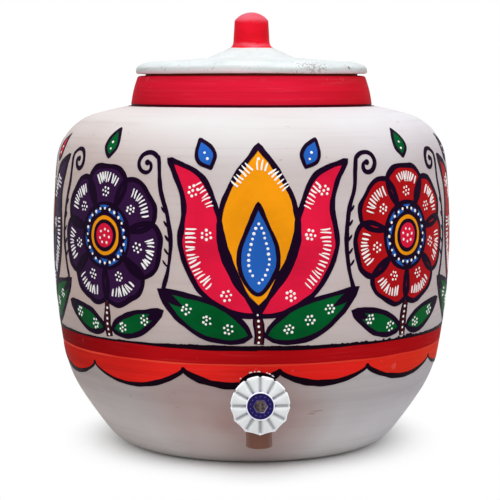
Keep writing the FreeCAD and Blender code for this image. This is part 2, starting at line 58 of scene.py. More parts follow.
# --- the pot's outline, as the solids have it, in mm and degrees of heading ---
BELLY_RADIUS = 140.0
TURNS = (
    (25.6, 0.0, 52.1),
    (333.0, 52.1, 57.8),
    (83.7, 57.8, 80.3),
    (459.0, 80.3, 96.8),
    (36.7, 96.8, 164.8),
    (281.0, 164.8, 170.0),
)
CLAY_WALL = 9.0
WALL_STEP = 2.6
COLLAR_FOOT = 2.5
COLLAR_HEIGHT = 21.6
COLLAR_ANGLE = 13.9
COLLAR_WALL = 8.8
COLLAR_BULGE = 0.5
RIM_ROUND = 3.0
RIM_DROP = 1.0
RIM_SLOPE = ((1.4, 0.95), (2.8, 0.8), (3.3, 0.0))
MOUTH_ROUND = ((2.0, 0.0), (0.6, 0.6), (0.0, 2.0))
SKIN_INSET = 0.8
WOBBLE = 0.2
UNROLL_RADIUS = 139.0

# --- the tap, as the solids have it ---
TAP_HEIGHT = 54.0
SEAT_RADIUS = 14.0
SEAT_THICKNESS = 17.5
SEAT_PROUD = 1.0
HOLE_RADIUS = 8.6

# --- the painted band, on the unrolled wall ---
LINE_HEIGHT = 86.3
LINE_WIDTH = 3.2
LINE_THINNING = 0.3
DRY_BRUSH = 100.0
DRY_REACH = 66.0
BAND_WIDTH = 12.7
CUSP_DROPS = (19.8, 17.0, 17.0, 17.2, 19.6, 18.0, 18.6, 17.2, 18.4, 17.8, 17.4, 18.2)
SCALLOP_DEPTHS = (12.0, 9.9, 9.3, 9.7, 8.5, 8.6, 10.6, 9.4, 8.5, 10.2, 9.0, 10.8)
SCALLOP_LINES = ((3.5, 0.35), (5.5, 0.0), (4.7, -0.2), (3.9, -0.25))
SCALLOP_STEPS = 48
CUSPS = (-53.6, -21.0, 5.8, 32.5, 63.1, 93.0, 124.0, 153.0, 184.0, 215.0, 246.0, 276.0)

# --- where a painted brownish shade beside the tap stands for the brown spout's reflection, in metres ---
SPOUT_REFLECTION_CENTRE = (-0.011, -0.122, 0.013)
SPOUT_REFLECTION_STRETCH = (0.6, 1.0, 0.6)
SPOUT_REFLECTION_REACH = 0.046

# --- painted light: tints that shade the paint to the left of the front and light it to its right ---
SIDE_REACH = 0.135
BODY_LEFT_PAINTED_SHADE = (0.97, 0.88, 0.84)
BODY_RIGHT_PAINTED_LIGHT = (1.05, 1.04, 1.1)
LOW_RIGHT_PAINTED_LIGHT = (1.2, 1.24, 1.25)
COLLAR_LEFT_PAINTED_SHADE = (0.88, 1.0, 0.8)
COLLAR_RIGHT_PAINTED_LIGHT = (1.0, 1.1, 0.4)
DARK_BAND_LEFT_PAINTED_SHADE = (0.42, 0.3, 0.4)
DARK_BAND_RIGHT_PAINTED_LIGHT = (1.0, 1.1, 1.1)
ORANGE_BAND_LEFT_PAINTED_SHADE = (0.6, 0.7, 0.6)
ORANGE_BAND_RIGHT_PAINTED_LIGHT = (0.95, 2.2, 1.1)

# --- heights and places on the lid, in metres: painted shade on its edge, painted highlights on the knob's dome and foot, a scuff and a chip ---
EDGE_GREY_TOP = 0.2614
EDGE_GREY_BOTTOM = 0.2590
LID_SCUFF_CENTRE = (0.0397, -0.0697, 0.2618)
LID_SCUFF_STRETCH = (0.75, 1.3, 1.9)
LID_CHIP = (0.0643, -0.0478, 0.2617)
KNOB_DOME_HIGHLIGHT = (0.2925, 0.296)
KNOB_FOOT_HIGHLIGHT = (0.2755, 0.2775, 0.2795)

# --- paint thickness above the skin ---
COAT = 0.14
OVERCOAT = 0.2
LINE_COAT = 0.3
LINE_RISE = 0.12
DOT_COAT = 0.42
SUNK = -0.25


# --- the wall ---

def clamp(value):
    return min(1.0, max(0.0, value))


def sin_deg(a):
    return math.sin(math.radians(a))


def cos_deg(a):
    return math.cos(math.radians(a))


FOOT_RADIUS = BELLY_RADIUS - sum(
    radius * (sin_deg(min(end, 90.0)) - sin_deg(start)) for radius, start, end in TURNS if start < 90.0)


def outline_pieces():
    """Each arc as (length so far, radius, start heading, r and z of its start), and the outline's end."""
    pieces, s, r, z = [], 0.0, FOOT_RADIUS, 0.0
    for radius, start, end in TURNS:
        pieces.append((s, radius, start, r, z))
        s += radius * math.radians(end - start)
        r += radius * (sin_deg(end) - sin_deg(start))
        z += radius * (cos_deg(start) - cos_deg(end))
    return pieces, s, r, z


PIECES, WALL_LENGTH, NECK_RADIUS, NECK_HEIGHT = outline_pieces()


def outline_at(s):
    """Radius, height and heading of the outline at a distance along it from the foot."""
    s = min(max(s, 0.0), WALL_LENGTH)
    first, radius, start, r, z = [piece for piece in PIECES if piece[0] <= s + 1e-9][-1]
    heading = start + math.degrees((s - first) / radius)
    r += radius * (sin_deg(heading) - sin_deg(start))
    z += radius * (cos_deg(start) - cos_deg(heading))
    return r, z, heading


def length_at(height):
    """Distance along the outline to a height on the wall."""
    low, high = 0.0, WALL_LENGTH
    for _ in range(40):
        middle = 0.5 * (low + high)
        if outline_at(middle)[1] < height:
            low = middle
        else:
            high = middle
    return low


LINE_LENGTH = length_at(LINE_HEIGHT)
RIM_HEIGHT = NECK_HEIGHT + COLLAR_HEIGHT
RIM_RADIUS = NECK_RADIUS - (COLLAR_HEIGHT - COLLAR_FOOT) * math.tan(math.radians(COLLAR_ANGLE))
MOUTH_RADIUS = RIM_RADIUS - COLLAR_WALL
SEAT = outline_at(length_at(TAP_HEIGHT))[0] + SEAT_PROUD


def ripple(a, b, c):
    """Smooth noise between -1 and 1."""
    return noise.noise(Vector((a, b, c)))


def ripple_round(phi, pace, row):
    """The same round a circle, so that it meets itself."""
    return ripple(pace * math.sin(phi), pace * math.cos(phi), row)


def wobble(phi, z):
    """The slow unevenness of a hand-thrown wall."""
    return WOBBLE * ripple_round(phi, 1.3, z * 0.012)


def round_axis(r, phi, z):
    """A point at a radius, an angle round from the front and a height, in metres in the row frame."""
    return Vector((r * math.sin(phi), -r * math.cos(phi), z)) * MM


def on_wall(x, y, lift):
    """A point of the unrolled wall, lifted off it."""
    phi = x / UNROLL_RADIUS
    r, z, heading = outline_at(LINE_LENGTH + y)
    r += lift * sin_deg(heading) - SKIN_INSET + wobble(phi, z)
    return round_axis(r, phi, z - lift * cos_deg(heading))


# --- mesh helpers ---

def link_object(name, data):
    obj = bpy.data.objects.new(name, data)
    bpy.context.scene.collection.objects.link(obj)
    return obj


def new_object(name, verts, faces, materials, indices=None, sharp=35.0):
    mesh = bpy.data.meshes.new(name)
    mesh.from_pydata([tuple(v) for v in verts], [], faces)
    for material in materials:
        mesh.materials.append(material)
    if indices:
        mesh.polygons.foreach_set("material_index", indices)
    mesh.polygons.foreach_set("use_smooth", [True] * len(mesh.polygons))
    mesh.set_sharp_from_angle(angle=math.radians(sharp))
    return link_object(name, mesh)


def solid(name, verts, faces, materials, indices=None, sharp=35.0):
    """A closed object with its faces turned outward."""
    obj = new_object(name, verts, faces, materials, indices, sharp)
    work = bmesh.new()
    work.from_mesh(obj.data)
    bmesh.ops.remove_doubles(work, verts=work.verts, dist=1e-7)
    bmesh.ops.recalc_face_normals(work, faces=work.faces)
    work.to_mesh(obj.data)
    work.free()
    obj.data.set_sharp_from_angle(angle=math.radians(sharp))
    return obj


def skin(counts, closed=False):
    """Faces over rings of vertices laid one after another; a ring of one vertex is a point.

    The last ring joins the first where the skin is closed; otherwise both are faces of their own."""
    rings, first = [], 0
    for count in counts:
        rings.append(range(first, first + count))
        first += count
    faces = []
    for a, b in zip(rings, rings[1:] + rings[:1] if closed else rings[1:]):
        total = max(len(a), len(b))
        for k in range(total):
            n = (k + 1) % total
            near = (a[k], a[n]) if len(a) > 1 else (a[0],)
            far = (b[n], b[k]) if len(b) > 1 else (b[0],)
            faces.append(near + far)
    if not closed:
        faces += [tuple(ring) for ring in (rings[0][::-1], rings[-1]) if len(ring) > 1]
    return faces


def gather(parts, verts, faces):
    """Adds a closed solid's vertices and faces to those of its parts so far."""
    base = len(parts[0])
    parts[0].extend(verts)
    parts[1].extend(tuple(base + i for i in face) for face in faces)


def lathe(name, rows, materials, shift, sides=256, sharp=35.0):
    """A closed solid of revolution from rows of (r, z, material index), in mm.

    The rows start and end on the axis. shift(phi, r, z) gives a moved (r, z)."""
    verts, counts, indices = [], [], []
    for r, z, paint in rows:
        counts.append(sides if r > 0.0 else 1)
        for k in range(counts[-1]):
            phi = TAU * k / sides
            moved_r, moved_z = shift(phi, r, z)
            verts.append(round_axis(moved_r, phi, moved_z))
        indices += [paint] * sides
    return solid(name, verts, skin(counts), materials, indices[:-sides], sharp)


def boolean(obj, tool, operation):
    """Joins or cuts obj with tool, and removes the tool."""
    modifier = obj.modifiers.new("cut", "BOOLEAN")
    modifier.operation = operation
    modifier.solver = "EXACT"
    modifier.object = tool
    graph = bpy.context.evaluated_depsgraph_get()
    mesh = bpy.data.meshes.new_from_object(obj.evaluated_get(graph))
    obj.modifiers.remove(modifier)
    old = obj.data
    obj.data = mesh
    bpy.data.meshes.remove(old)
    bpy.data.objects.remove(tool)
    mesh.name = obj.name


def circle(x, y, radius, count):
    angles = [TAU * k / count for k in range(count)]
    return [(x + radius * math.cos(a), y + radius * math.sin(a)) for a in angles]


def tap_point(across, up, station):
    """A point off the tap's axis, at a station outward from the pot's axis."""
    return Vector((across, -station, TAP_HEIGHT + up)) * MM


def tap_highlight(radius, station, sides, across=0.0, up=0.0):
    return [tap_point(a, b, station) for a, b in circle(across, up, radius, sides)]


def tap_cylinder(radius, start, end, materials, index, sides=96):
    """A cylinder on the tap's axis between two stations."""
    verts = tap_highlight(radius, start, sides) + tap_highlight(radius, end, sides)
    faces = skin([sides, sides])
    return solid("tool", verts, faces, materials, [index] * len(faces))


# --- materials ---

def srgb(r, g, b):
    """A colour from 0 to 255 display values, as linear RGBA."""
    def linear(c):
        c /= 255.0
        return c / 12.92 if c <= 0.04045 else ((c + 0.055) / 1.055) ** 2.4
    return (linear(r), linear(g), linear(b), 1.0)


def grey(level):
    return (level, level, level, 1.0)


def shade(colour, factor):
    return tuple(min(1.0, c * factor) for c in colour[:3]) + (1.0,)


def pale(colour):
    """A colour rubbed a third of the way to pale grey."""
    return tuple(c + (0.6 - c) * 0.35 for c in colour[:3]) + (1.0,)


class Nodes:
    """A few shorthands for building the nodes of a material or the world."""

    def __init__(self, owner, output):
        owner.use_nodes = True
        self.tree = owner.node_tree
        self.tree.nodes.clear()
        self.output = self.tree.nodes.new(output)

    def put(self, socket, value):
        """Sets a socket to a value or links another socket to it."""
        if isinstance(value, bpy.types.NodeSocket):
            self.tree.links.new(value, socket)
        else:
            socket.default_value = value

    def node(self, kind, inputs, output=0, **settings):
        """One output of a new node whose inputs are values or sockets."""
        made = self.tree.nodes.new(kind)
        for key, value in settings.items():
            setattr(made, key, value)
        for name, value in inputs.items():
            self.put(made.inputs[name], value)
        return made.outputs[output]

    def show(self, result):
        self.put(self.output.inputs[0], result)

    def coordinates(self, stretch=EVEN):
        """Object coordinates, stretched along each axis."""
        here = self.node("ShaderNodeTexCoord", {}, "Object")
        return self.node("ShaderNodeMapping", {"Vector": here, "Scale": stretch}, "Vector")

    def axis(self, name):
        return self.node("ShaderNodeSeparateXYZ", {0: self.coordinates()}, name)

    def distance(self, centre, stretch=EVEN):
        """How far the stretched coordinates are from a centre."""
        ends = {0: self.coordinates(stretch), 1: centre}
        return self.node("ShaderNodeVectorMath", ends, "Value", operation="DISTANCE")

    def noise(self, scale, detail=3.0, rough=0.5, stretch=EVEN):
        here = self.coordinates(stretch)
        inputs = {"Vector": here, "Scale": scale, "Detail": detail, "Roughness": rough}
        return self.node("ShaderNodeTexNoise", inputs, "Fac")

    def remap(self, value, low, high, to_low=0.0, to_high=1.0, **settings):
        """A number that runs from to_low to to_high as value runs from low to high, and stops there."""
        inputs = {"Value": value, "From Min": low, "From Max": high, "To Min": to_low, "To Max": to_high}
        return self.node("ShaderNodeMapRange", inputs, "Result", **settings)

    def vary(self, cloud, low, high):
        """A number that follows a noise between low and high."""
        return self.remap(cloud, 0.3, 0.7, low, high)

    def mix(self, factor, a, b):
        return self.node("ShaderNodeMix", {0: factor, 6: a, 7: b}, 2, data_type="RGBA")

    def blend(self, value, low, high, a, b, share=1.0):
        """Colour a, turning into a share of colour b as value runs from low to high."""
        return self.mix(self.remap(value, low, high, 0.0, share), a, b)

    def ramp(self, value, stops):
        """A colour that runs through stops, each a position from 0 to 1 and a colour."""
        made = self.tree.nodes.new("ShaderNodeValToRGB")
        elements = made.color_ramp.elements
        while len(elements) < len(stops):
            elements.new(0.5)
        for element, (position, colour) in zip(elements, stops):
            element.position = position
            element.color = colour
        self.put(made.inputs["Fac"], value)
        return made.outputs["Color"]

    def math(self, operation, *values):
        return self.node("ShaderNodeMath", dict(enumerate(values)), operation=operation)

    def times(self, a, b):
        return self.math("MULTIPLY", a, b)

    def height(self, cloud, amount):
        """Height above the stand, moved up and down by a noise."""
        return self.math("ADD", self.axis("Z"), self.vary(cloud, -amount, amount))

    def side_painted_light(self, tone, left, right, near=0.03):
        """Painted light: a tone tinted one way to the left of the front and another way to its right, for
        shade on one side and light on the other.
        """
        across = self.axis("X")
        for side, tint in ((-1.0, left), (1.0, right)):
            tinted = self.node("ShaderNodeVectorMath", {0: tone, 1: tint}, operation="MULTIPLY")
            tone = self.blend(across, near * side, SIDE_REACH * side, tone, tinted)
        return tone

    def seen_directly(self):
        """1 on rays from the camera, straight, mirrored or through glass."""
        path = self.tree.nodes.new("ShaderNodeLightPath")
        total = path.outputs["Is Camera Ray"]
        for name in ("Is Glossy Ray", "Is Transmission Ray"):
            total = self.math("MAXIMUM", total, path.outputs[name])
        return total


class Surface(Nodes):
    """A material with one shader."""

    def __init__(self, name, gloss=0.07):
        self.material = bpy.data.materials.new(name)
        super().__init__(self.material, "ShaderNodeOutputMaterial")
        self.shader = self.tree.nodes.new("ShaderNodeBsdfPrincipled")
        self.shader.inputs["Specular IOR Level"].default_value = gloss
        self.show(self.shader.outputs[0])

    def paint(self, colour, rough):
        self.put(self.shader.inputs["Base Color"], colour)
        self.put(self.shader.inputs["Roughness"], rough)

    def finish(self, colour, rough, relief, strength, depth):
        """Sets colour, roughness and bump, and gives the material."""
        self.paint(colour, rough)
        inputs = {"Height": relief, "Strength": strength, "Distance": depth}
        self.put(self.shader.inputs["Normal"], self.node("ShaderNodeBump", inputs, "Normal"))
        return self.material


def body_paint():
    """Off-white paint brushed round the pot on the wheel, with painted shade: darker on the low wall than at
    the foot and shoulder, and brownish beside the tap.
    """
    n = Surface("body_paint", 0.03)
    wide = n.noise(1.0, 4.0, 0.6, (4.0, 4.0, 90.0))
    fine = n.noise(1.0, 2.0, 0.5, (9.0, 9.0, 420.0))
    patch = n.noise(11.0)
    speck = n.noise(130.0, 2.0, 0.5, (1.0, 1.0, 1.4))
    height = n.height(patch, 0.012)
    # painted shade by height: darkest on the low wall around 55 to 75 mm, lighter towards the foot and the
    # shoulder
    tone = n.ramp(n.remap(height, 0.0, 0.25), (
        (0.02, srgb(213, 208, 206)), (0.08, srgb(206, 201, 200)), (0.16, srgb(180, 175, 174)),
        (0.22, srgb(160, 153, 152)), (0.30, srgb(162, 153, 151)), (0.42, srgb(193, 176, 171)),
        (0.78, srgb(196, 182, 179)), (0.92, srgb(205, 202, 201))))
    streaks = n.math("MULTIPLY_ADD", wide, 0.6, n.times(patch, 0.4))
    tone = n.blend(streaks, 0.35, 0.65, tone, srgb(216, 208, 208), 0.3)
    tone = n.blend(fine, 0.55, 0.75, tone, srgb(160, 140, 136), 0.14)
    tone = n.blend(speck, 0.74, 0.8, tone, srgb(150, 112, 96), 0.5)
    # painted reflection of the brown spout: a brownish shade on the wall beside the tap
    spout_reflection = n.remap(n.distance(SPOUT_REFLECTION_CENTRE, SPOUT_REFLECTION_STRETCH), 0.008, SPOUT_REFLECTION_REACH, 0.82, 0.0)
    tone = n.mix(n.times(spout_reflection, n.remap(patch, 0.3, 0.62, 0.5, 1.0)), tone, srgb(164, 108, 96))
    # painted shade to the left of the front and painted light to its right
    tone = n.side_painted_light(tone, BODY_LEFT_PAINTED_SHADE, BODY_RIGHT_PAINTED_LIGHT)
    # painted light: lighter low on the wall to the right of the front
    tone = n.blend(height, 0.11, 0.07, tone, n.side_painted_light(tone, EVEN, LOW_RIGHT_PAINTED_LIGHT))
    return n.finish(tone, n.vary(fine, 0.42, 0.6), wide, 0.25, 0.0004)


def brush_paint(name, colour, rough=0.42, spread=0.1):
    """Acrylic brushed on by hand: a little uneven in depth and gloss."""
    n = Surface(name, 0.012)
    stroke = n.noise(150.0, 3.0, 0.6, (1.0, 1.0, 2.2))
    tone = n.blend(n.noise(28.0, 2.0), 0.3, 0.7, shade(colour, 1.0 - spread), shade(colour, 1.0 + spread))
    tone = n.blend(stroke, 0.45, 0.8, tone, shade(colour, 1.0 + 2.0 * spread), 0.3)
    return n.finish(tone, n.vary(stroke, rough - 0.06, rough + 0.1), stroke, 0.2, 0.0002)


def ring_paint(name, colour, other, left=None, right=None, near=0.03):
    """Paint laid on while the pot turns: level brush lines, pale scuffs and a second colour in places, with
    painted shade to the left of the front and painted light to its right where left and right are given.
    """
    n = Surface(name, 0.004)
    lines = n.noise(1.0, 4.0, 0.6, (5.0, 5.0, 260.0))
    threads = n.noise(1.0, 3.0, 0.6, (26.0, 26.0, 700.0))
    cloud = n.noise(9.0, 2.0)
    scuff = n.noise(95.0, 3.0, 0.7, (1.0, 1.0, 0.8))
    tone = n.blend(lines, 0.32, 0.72, shade(colour, 0.78), shade(colour, 1.12))
    tone = n.blend(threads, 0.54, 0.78, tone, pale(colour), 0.12)
    tone = n.blend(cloud, 0.42, 0.66, tone, other, 0.7)
    if left:
        tone = n.side_painted_light(tone, left, right, near)
    rubbed = n.times(n.remap(scuff, 0.66, 0.76, 0.0, 0.4), n.remap(cloud, 0.4, 0.6))
    return n.finish(n.mix(rubbed, tone, pale(colour)), n.vary(lines, 0.4, 0.55), lines, 0.3, 0.0004)


def knob_paint():
    """Glossy red over the lid's clay knob, with a painted highlight on its dome and a pale pink painted
    highlight round its foot.
    """
    n = Surface("lid_knob_red", 0.02)
    lumps = n.noise(110.0, 3.0, 0.6)
    strokes = n.noise(1.0, 3.0, 0.6, (30.0, 30.0, 90.0))
    height = n.height(lumps, 0.0016)
    tone = n.blend(strokes, 0.35, 0.65, srgb(212, 20, 34), srgb(234, 24, 46))
    # painted highlight: bluish grey mixed into the red near the dome's top
    dome = n.times(n.remap(height, *KNOB_DOME_HIGHLIGHT, 0.0, 0.31), n.remap(lumps, 0.36, 0.56, 1.2, 0.7))
    tone = n.mix(dome, tone, srgb(120, 151, 167))
    # painted highlight: pale pink in a band round the knob's foot, strongest at the front
    low, middle, high = KNOB_FOOT_HIGHLIGHT
    foot = n.times(n.remap(height, low, middle), n.remap(height, middle, high, 1.0, 0.0))
    foot = n.times(foot, n.remap(strokes, 0.35, 0.6, 0.18, 0.5))
    front = n.remap(n.math("ABSOLUTE", n.axis("X")), 0.004, 0.013, 1.0, 0.3)
    tone = n.mix(n.times(foot, front), tone, srgb(200, 132, 150))
    return n.finish(tone, 0.4, lumps, 0.3, 0.0006)


def bare_clay():
    """Fired clay left unpainted on the rim, inside the pot and under the lid."""
    n = Surface("bare_clay")
    grain = n.noise(420.0, 4.0, 0.7)
    rings = n.noise(1.0, 3.0, 0.5, (3.0, 3.0, 160.0))
    tone = n.blend(rings, 0.3, 0.7, srgb(158, 88, 58), srgb(188, 112, 76))
    tone = n.blend(grain, 0.4, 0.7, tone, srgb(120, 66, 44), 0.35)
    return n.finish(tone, 0.9, grain, 0.4, 0.0003)


def lid_paint():
    """Thick white paint over a hand-formed lid, chipped and scuffed along its edge, with painted shade
    greying its side, pinker lower down.
    """
    n = Surface("lid_paint", 0.03)
    lumps = n.noise(60.0, 4.0, 0.6, (1.0, 1.0, 1.6))
    chips = n.noise(190.0, 4.0, 0.7, (1.0, 1.0, 1.8))
    flecks = n.noise(430.0, 2.0, 0.6, (1.7, 1.0, 0.8))
    smears = n.noise(1.0, 4.0, 0.6, (20.0, 20.0, 230.0))
    height = n.height(n.noise(26.0, 3.0, 0.6), 0.0012)
    tone = n.blend(lumps, 0.35, 0.7, srgb(198, 201, 200), srgb(212, 215, 214))
    # painted shade: grey in streaks on the lid's side below EDGE_GREY_TOP
    rim = n.remap(height, EDGE_GREY_TOP + 0.0012, EDGE_GREY_TOP)
    edge_shade = n.times(rim, n.remap(smears, 0.35, 0.6, 0.65, 1.0))
    tone = n.mix(edge_shade, tone, srgb(190, 191, 189))
    low = n.remap(height, EDGE_GREY_TOP - 0.001, EDGE_GREY_BOTTOM)
    side = n.times(low, n.remap(smears, 0.34, 0.6, 0.6, 1.0))
    tone = n.mix(side, tone, srgb(222, 193, 199))
    edge = n.remap(height, EDGE_GREY_TOP + 0.004, EDGE_GREY_TOP + 0.002)
    worn = n.times(edge, n.remap(chips, 0.64, 0.69, 0.0, 0.85))
    tone = n.mix(worn, tone, srgb(158, 132, 127))
    centre = [c * s for c, s in zip(LID_SCUFF_CENTRE, LID_SCUFF_STRETCH)]
    scuff = n.remap(n.distance(centre, LID_SCUFF_STRETCH), 0.005, 0.017, 0.17, 0.0)
    tone = n.blend(n.math("ADD", flecks, scuff), 0.67, 0.72, tone, srgb(156, 148, 144), 0.85)
    chip = n.remap(n.distance(LID_CHIP), 0.0007, 0.0015, 0.9, 0.0)
    tone = n.mix(chip, tone, srgb(96, 66, 60))
    relief = n.math("ADD", lumps, n.times(worn, -0.2))
    return n.finish(tone, n.vary(lumps, 0.5, 0.66), relief, 0.3, 0.0006)


def moulded(name, colour, rough, grain=0.12, gloss=0.35, metallic=0.0):
    """Moulded plastic, rubber or plain metal with a faint skin texture."""
    n = Surface(name, gloss)
    texture = n.noise(900.0, 2.0)
    tone = n.blend(n.noise(70.0, 2.0), 0.3, 0.7, shade(colour, 0.94), shade(colour, 1.05))
    n.shader.inputs["Metallic"].default_value = metallic
    return n.finish(tone, n.vary(texture, rough - 0.05, rough + 0.06), texture, grain, 0.0001)


def spindle_end():
    """The rough moulded end of the spindle in the disc's hexagon."""
    n = Surface("spindle_end", 0.2)
    mottle = n.noise(620.0, 2.0)
    tone = n.blend(mottle, 0.4, 0.7, srgb(50, 38, 40), srgb(118, 102, 96))
    return n.finish(tone, 0.5, mottle, 0.5, 0.0004)


mat = {
    "body": body_paint(),
    "clay": bare_clay(),
    "lid": lid_paint(),
    # the collar and the bands: painted shade to the left of the front, painted light to its right
    "collar": ring_paint(
        "collar_red", srgb(214, 27, 54), srgb(192, 22, 38), COLLAR_LEFT_PAINTED_SHADE, COLLAR_RIGHT_PAINTED_LIGHT),
    "knob_red": knob_paint(),
    "dark_red": ring_paint(
        "band_dark_red", srgb(187, 18, 24), srgb(165, 12, 17), DARK_BAND_LEFT_PAINTED_SHADE, DARK_BAND_RIGHT_PAINTED_LIGHT, 0.07),
    "orange_red": ring_paint(
        "band_orange_red", srgb(239, 41, 35), srgb(220, 33, 28), ORANGE_BAND_LEFT_PAINTED_SHADE, ORANGE_BAND_RIGHT_PAINTED_LIGHT, 0.06),
    # painted highlight along the joint of the dark red and the orange-red
    "band_edge_highlight": ring_paint("band_edge_painted_highlight", srgb(236, 74, 52), srgb(226, 40, 34)),
    "maroon": brush_paint("maroon_line", srgb(70, 8, 24)),
    "black": brush_paint("black_line", srgb(20, 6, 18), 0.4),
    "plum": brush_paint("plum_outline", srgb(25, 7, 31)),
    "crimson": brush_paint("crimson", srgb(216, 25, 60), spread=0.14),
    "red": brush_paint("flower_red", srgb(176, 18, 24)),
    "orange": brush_paint("orange", srgb(238, 148, 16)),
    "ochre": brush_paint("ochre_smear", srgb(172, 118, 30)),
    "blue": brush_paint("blue", srgb(36, 92, 176)),
    "green": brush_paint("leaf_green", srgb(3, 84, 38), spread=0.24),
    "purple": brush_paint("purple", srgb(48, 20, 58), spread=0.2),
    "brown": brush_paint("stem_brown", srgb(62, 18, 22)),
    "clay_scuff": brush_paint("clay_scuff", srgb(174, 144, 138)),
    "white": brush_paint("white_dots", srgb(244, 240, 238), 0.5, 0.02),
    "tap_brown": moulded("tap_brown", srgb(112, 68, 51), 0.4),
    "tap_dark": spindle_end(),
    "tap_white": moulded("tap_white", srgb(220, 221, 221), 0.34),
    # painted highlight on the knob's lobe edges and on the ring round the disc
    "tap_highlight": moulded("tap_highlight", srgb(246, 245, 250), 0.3),
    # painted shade in the knob's grooves
    "tap_groove_shade": moulded("groove_painted_shade", srgb(172, 173, 176), 0.6),
    "tap_purple": moulded("tap_purple", srgb(24, 12, 80), 0.35, gloss=0.12),
    # painted highlight on the disc's pips and the hexagon's rim
    "purple_highlight": moulded("purple_highlight", srgb(80, 68, 134), 0.35),
    # painted shade tinted with the disc's purple, at the grooves' inner ends
    "groove_end_shade": moulded("groove_end_shade", srgb(132, 120, 168), 0.4),
    # painted highlight on the lower right of the hexagon's rim
    "hex_edge_highlight": moulded("hex_edge_highlight", srgb(176, 164, 190), 0.3),
    "rubber": moulded("seal_rubber", srgb(26, 24, 24), 0.75, 0.3),
    "steel": moulded("spring_steel", srgb(170, 170, 172), 0.3, metallic=1.0),
    "brass": moulded("nut_brass", srgb(200, 160, 84), 0.35, metallic=1.0),
}


# --- the pot ---

def pot_rows():
    """Half section from the base's middle, up the outside, and down the inside."""
    body, collar, clay, maroon = range(4)
    steps = int(WALL_LENGTH / WALL_STEP)
    wall = [outline_at(WALL_LENGTH * k / steps) for k in range(steps + 1)]
    rows = [(0.0, 0.0, body), (0.6 * FOOT_RADIUS, 0.0, body)]
    rows += [(r - SKIN_INSET, z, body) for r, z, _ in wall]
    rows[-1] = rows[-1][:2] + (maroon,)
    neck = NECK_RADIUS - SKIN_INSET
    top = COLLAR_HEIGHT - RIM_ROUND
    lean = math.tan(math.radians(COLLAR_ANGLE))
    rows.append((neck + 0.2, NECK_HEIGHT + 0.5 * COLLAR_FOOT, collar))
    for k in range(7):
        rise = (top - COLLAR_FOOT) * k / 6
        bulge = COLLAR_BULGE * math.sin(math.pi * k / 6)
        rows.append((neck - rise * lean + bulge, NECK_HEIGHT + COLLAR_FOOT + rise, collar))
    edge = neck - (top - COLLAR_FOOT) * lean - RIM_ROUND
    for k in range(1, 7):
        a = 0.5 * math.pi * k / 6
        rise = (RIM_ROUND - RIM_DROP) * math.sin(a)
        rows.append((edge + RIM_ROUND * math.cos(a), NECK_HEIGHT + top + rise, collar if k < 6 else clay))
    rows += [(edge - inward, RIM_HEIGHT - share * RIM_DROP, clay) for inward, share in RIM_SLOPE]
    rows += [(MOUTH_RADIUS + outward, RIM_HEIGHT - down, clay) for outward, down in MOUTH_ROUND]
    rows.append((MOUTH_RADIUS, NECK_HEIGHT - 4.0, clay))
    inner = [(r - CLAY_WALL * sin_deg(a), z + CLAY_WALL * cos_deg(a), clay) for r, z, a in wall[::-3]]
    rows += [row for row in inner if row[1] < NECK_HEIGHT - 8.0]
    rows.append((0.0, CLAY_WALL, clay))
    return rows


def uneven_wall(phi, r, z):
    if r < FOOT_RADIUS or z <= 0.0:
        return r, z
    return r + wobble(phi, z), z


def make_pot():
    """The pot's wall with the tap's flat seat on both sides of it and the hole between."""
    materials = [mat[name] for name in ("body", "collar", "clay", "maroon")]
    painted, bare = 0, 2
    pot = lathe("pot_painted", pot_rows(), materials, uneven_wall)
    back = SEAT - SEAT_THICKNESS
    for operation, radius, start, end, paint in (
            ("UNION", SEAT_RADIUS, back, SEAT, painted),
            ("DIFFERENCE", SEAT_RADIUS, SEAT, SEAT + 30.0, bare),
            ("DIFFERENCE", SEAT_RADIUS, back - 40.0, back, bare),
            ("DIFFERENCE", HOLE_RADIUS, SEAT - 60.0, SEAT + 30.0, bare)):
        boolean(pot, tap_cylinder(radius, start, end, materials, paint), operation)
    pot.data.set_sharp_from_angle(angle=math.radians(40.0))
    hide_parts("pot_body")
    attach(pot, "pot")


# --- the lid ---

LID_OVERHANG = 1.2
LID_EDGE_HEIGHT = 8.8
LID_EDGE_WIDTH = 10.5
LID_DISH_RISE = 3.1
LID_DOME_RADIUS = 30.5
LID_DOME_RISE = 6.7
LID_KNOB_RADIUS = 13.2
LID_KNOB_FILLET = 2.6
LID_KNOB_SIDE = 16.1
LID_KNOB_LEAN = 3.5
LID_KNOB_DOME = 6.6
LID_RING_GAP = 1.5
LID_RING_WALL = 6.0
LID_RING_DEPTH = 8.0
LID_CEILING = 6.0
LID_INSET = 0.35
LID_HOLLOW = 0.5
LID_HOLLOW_WIDTH = 6.9


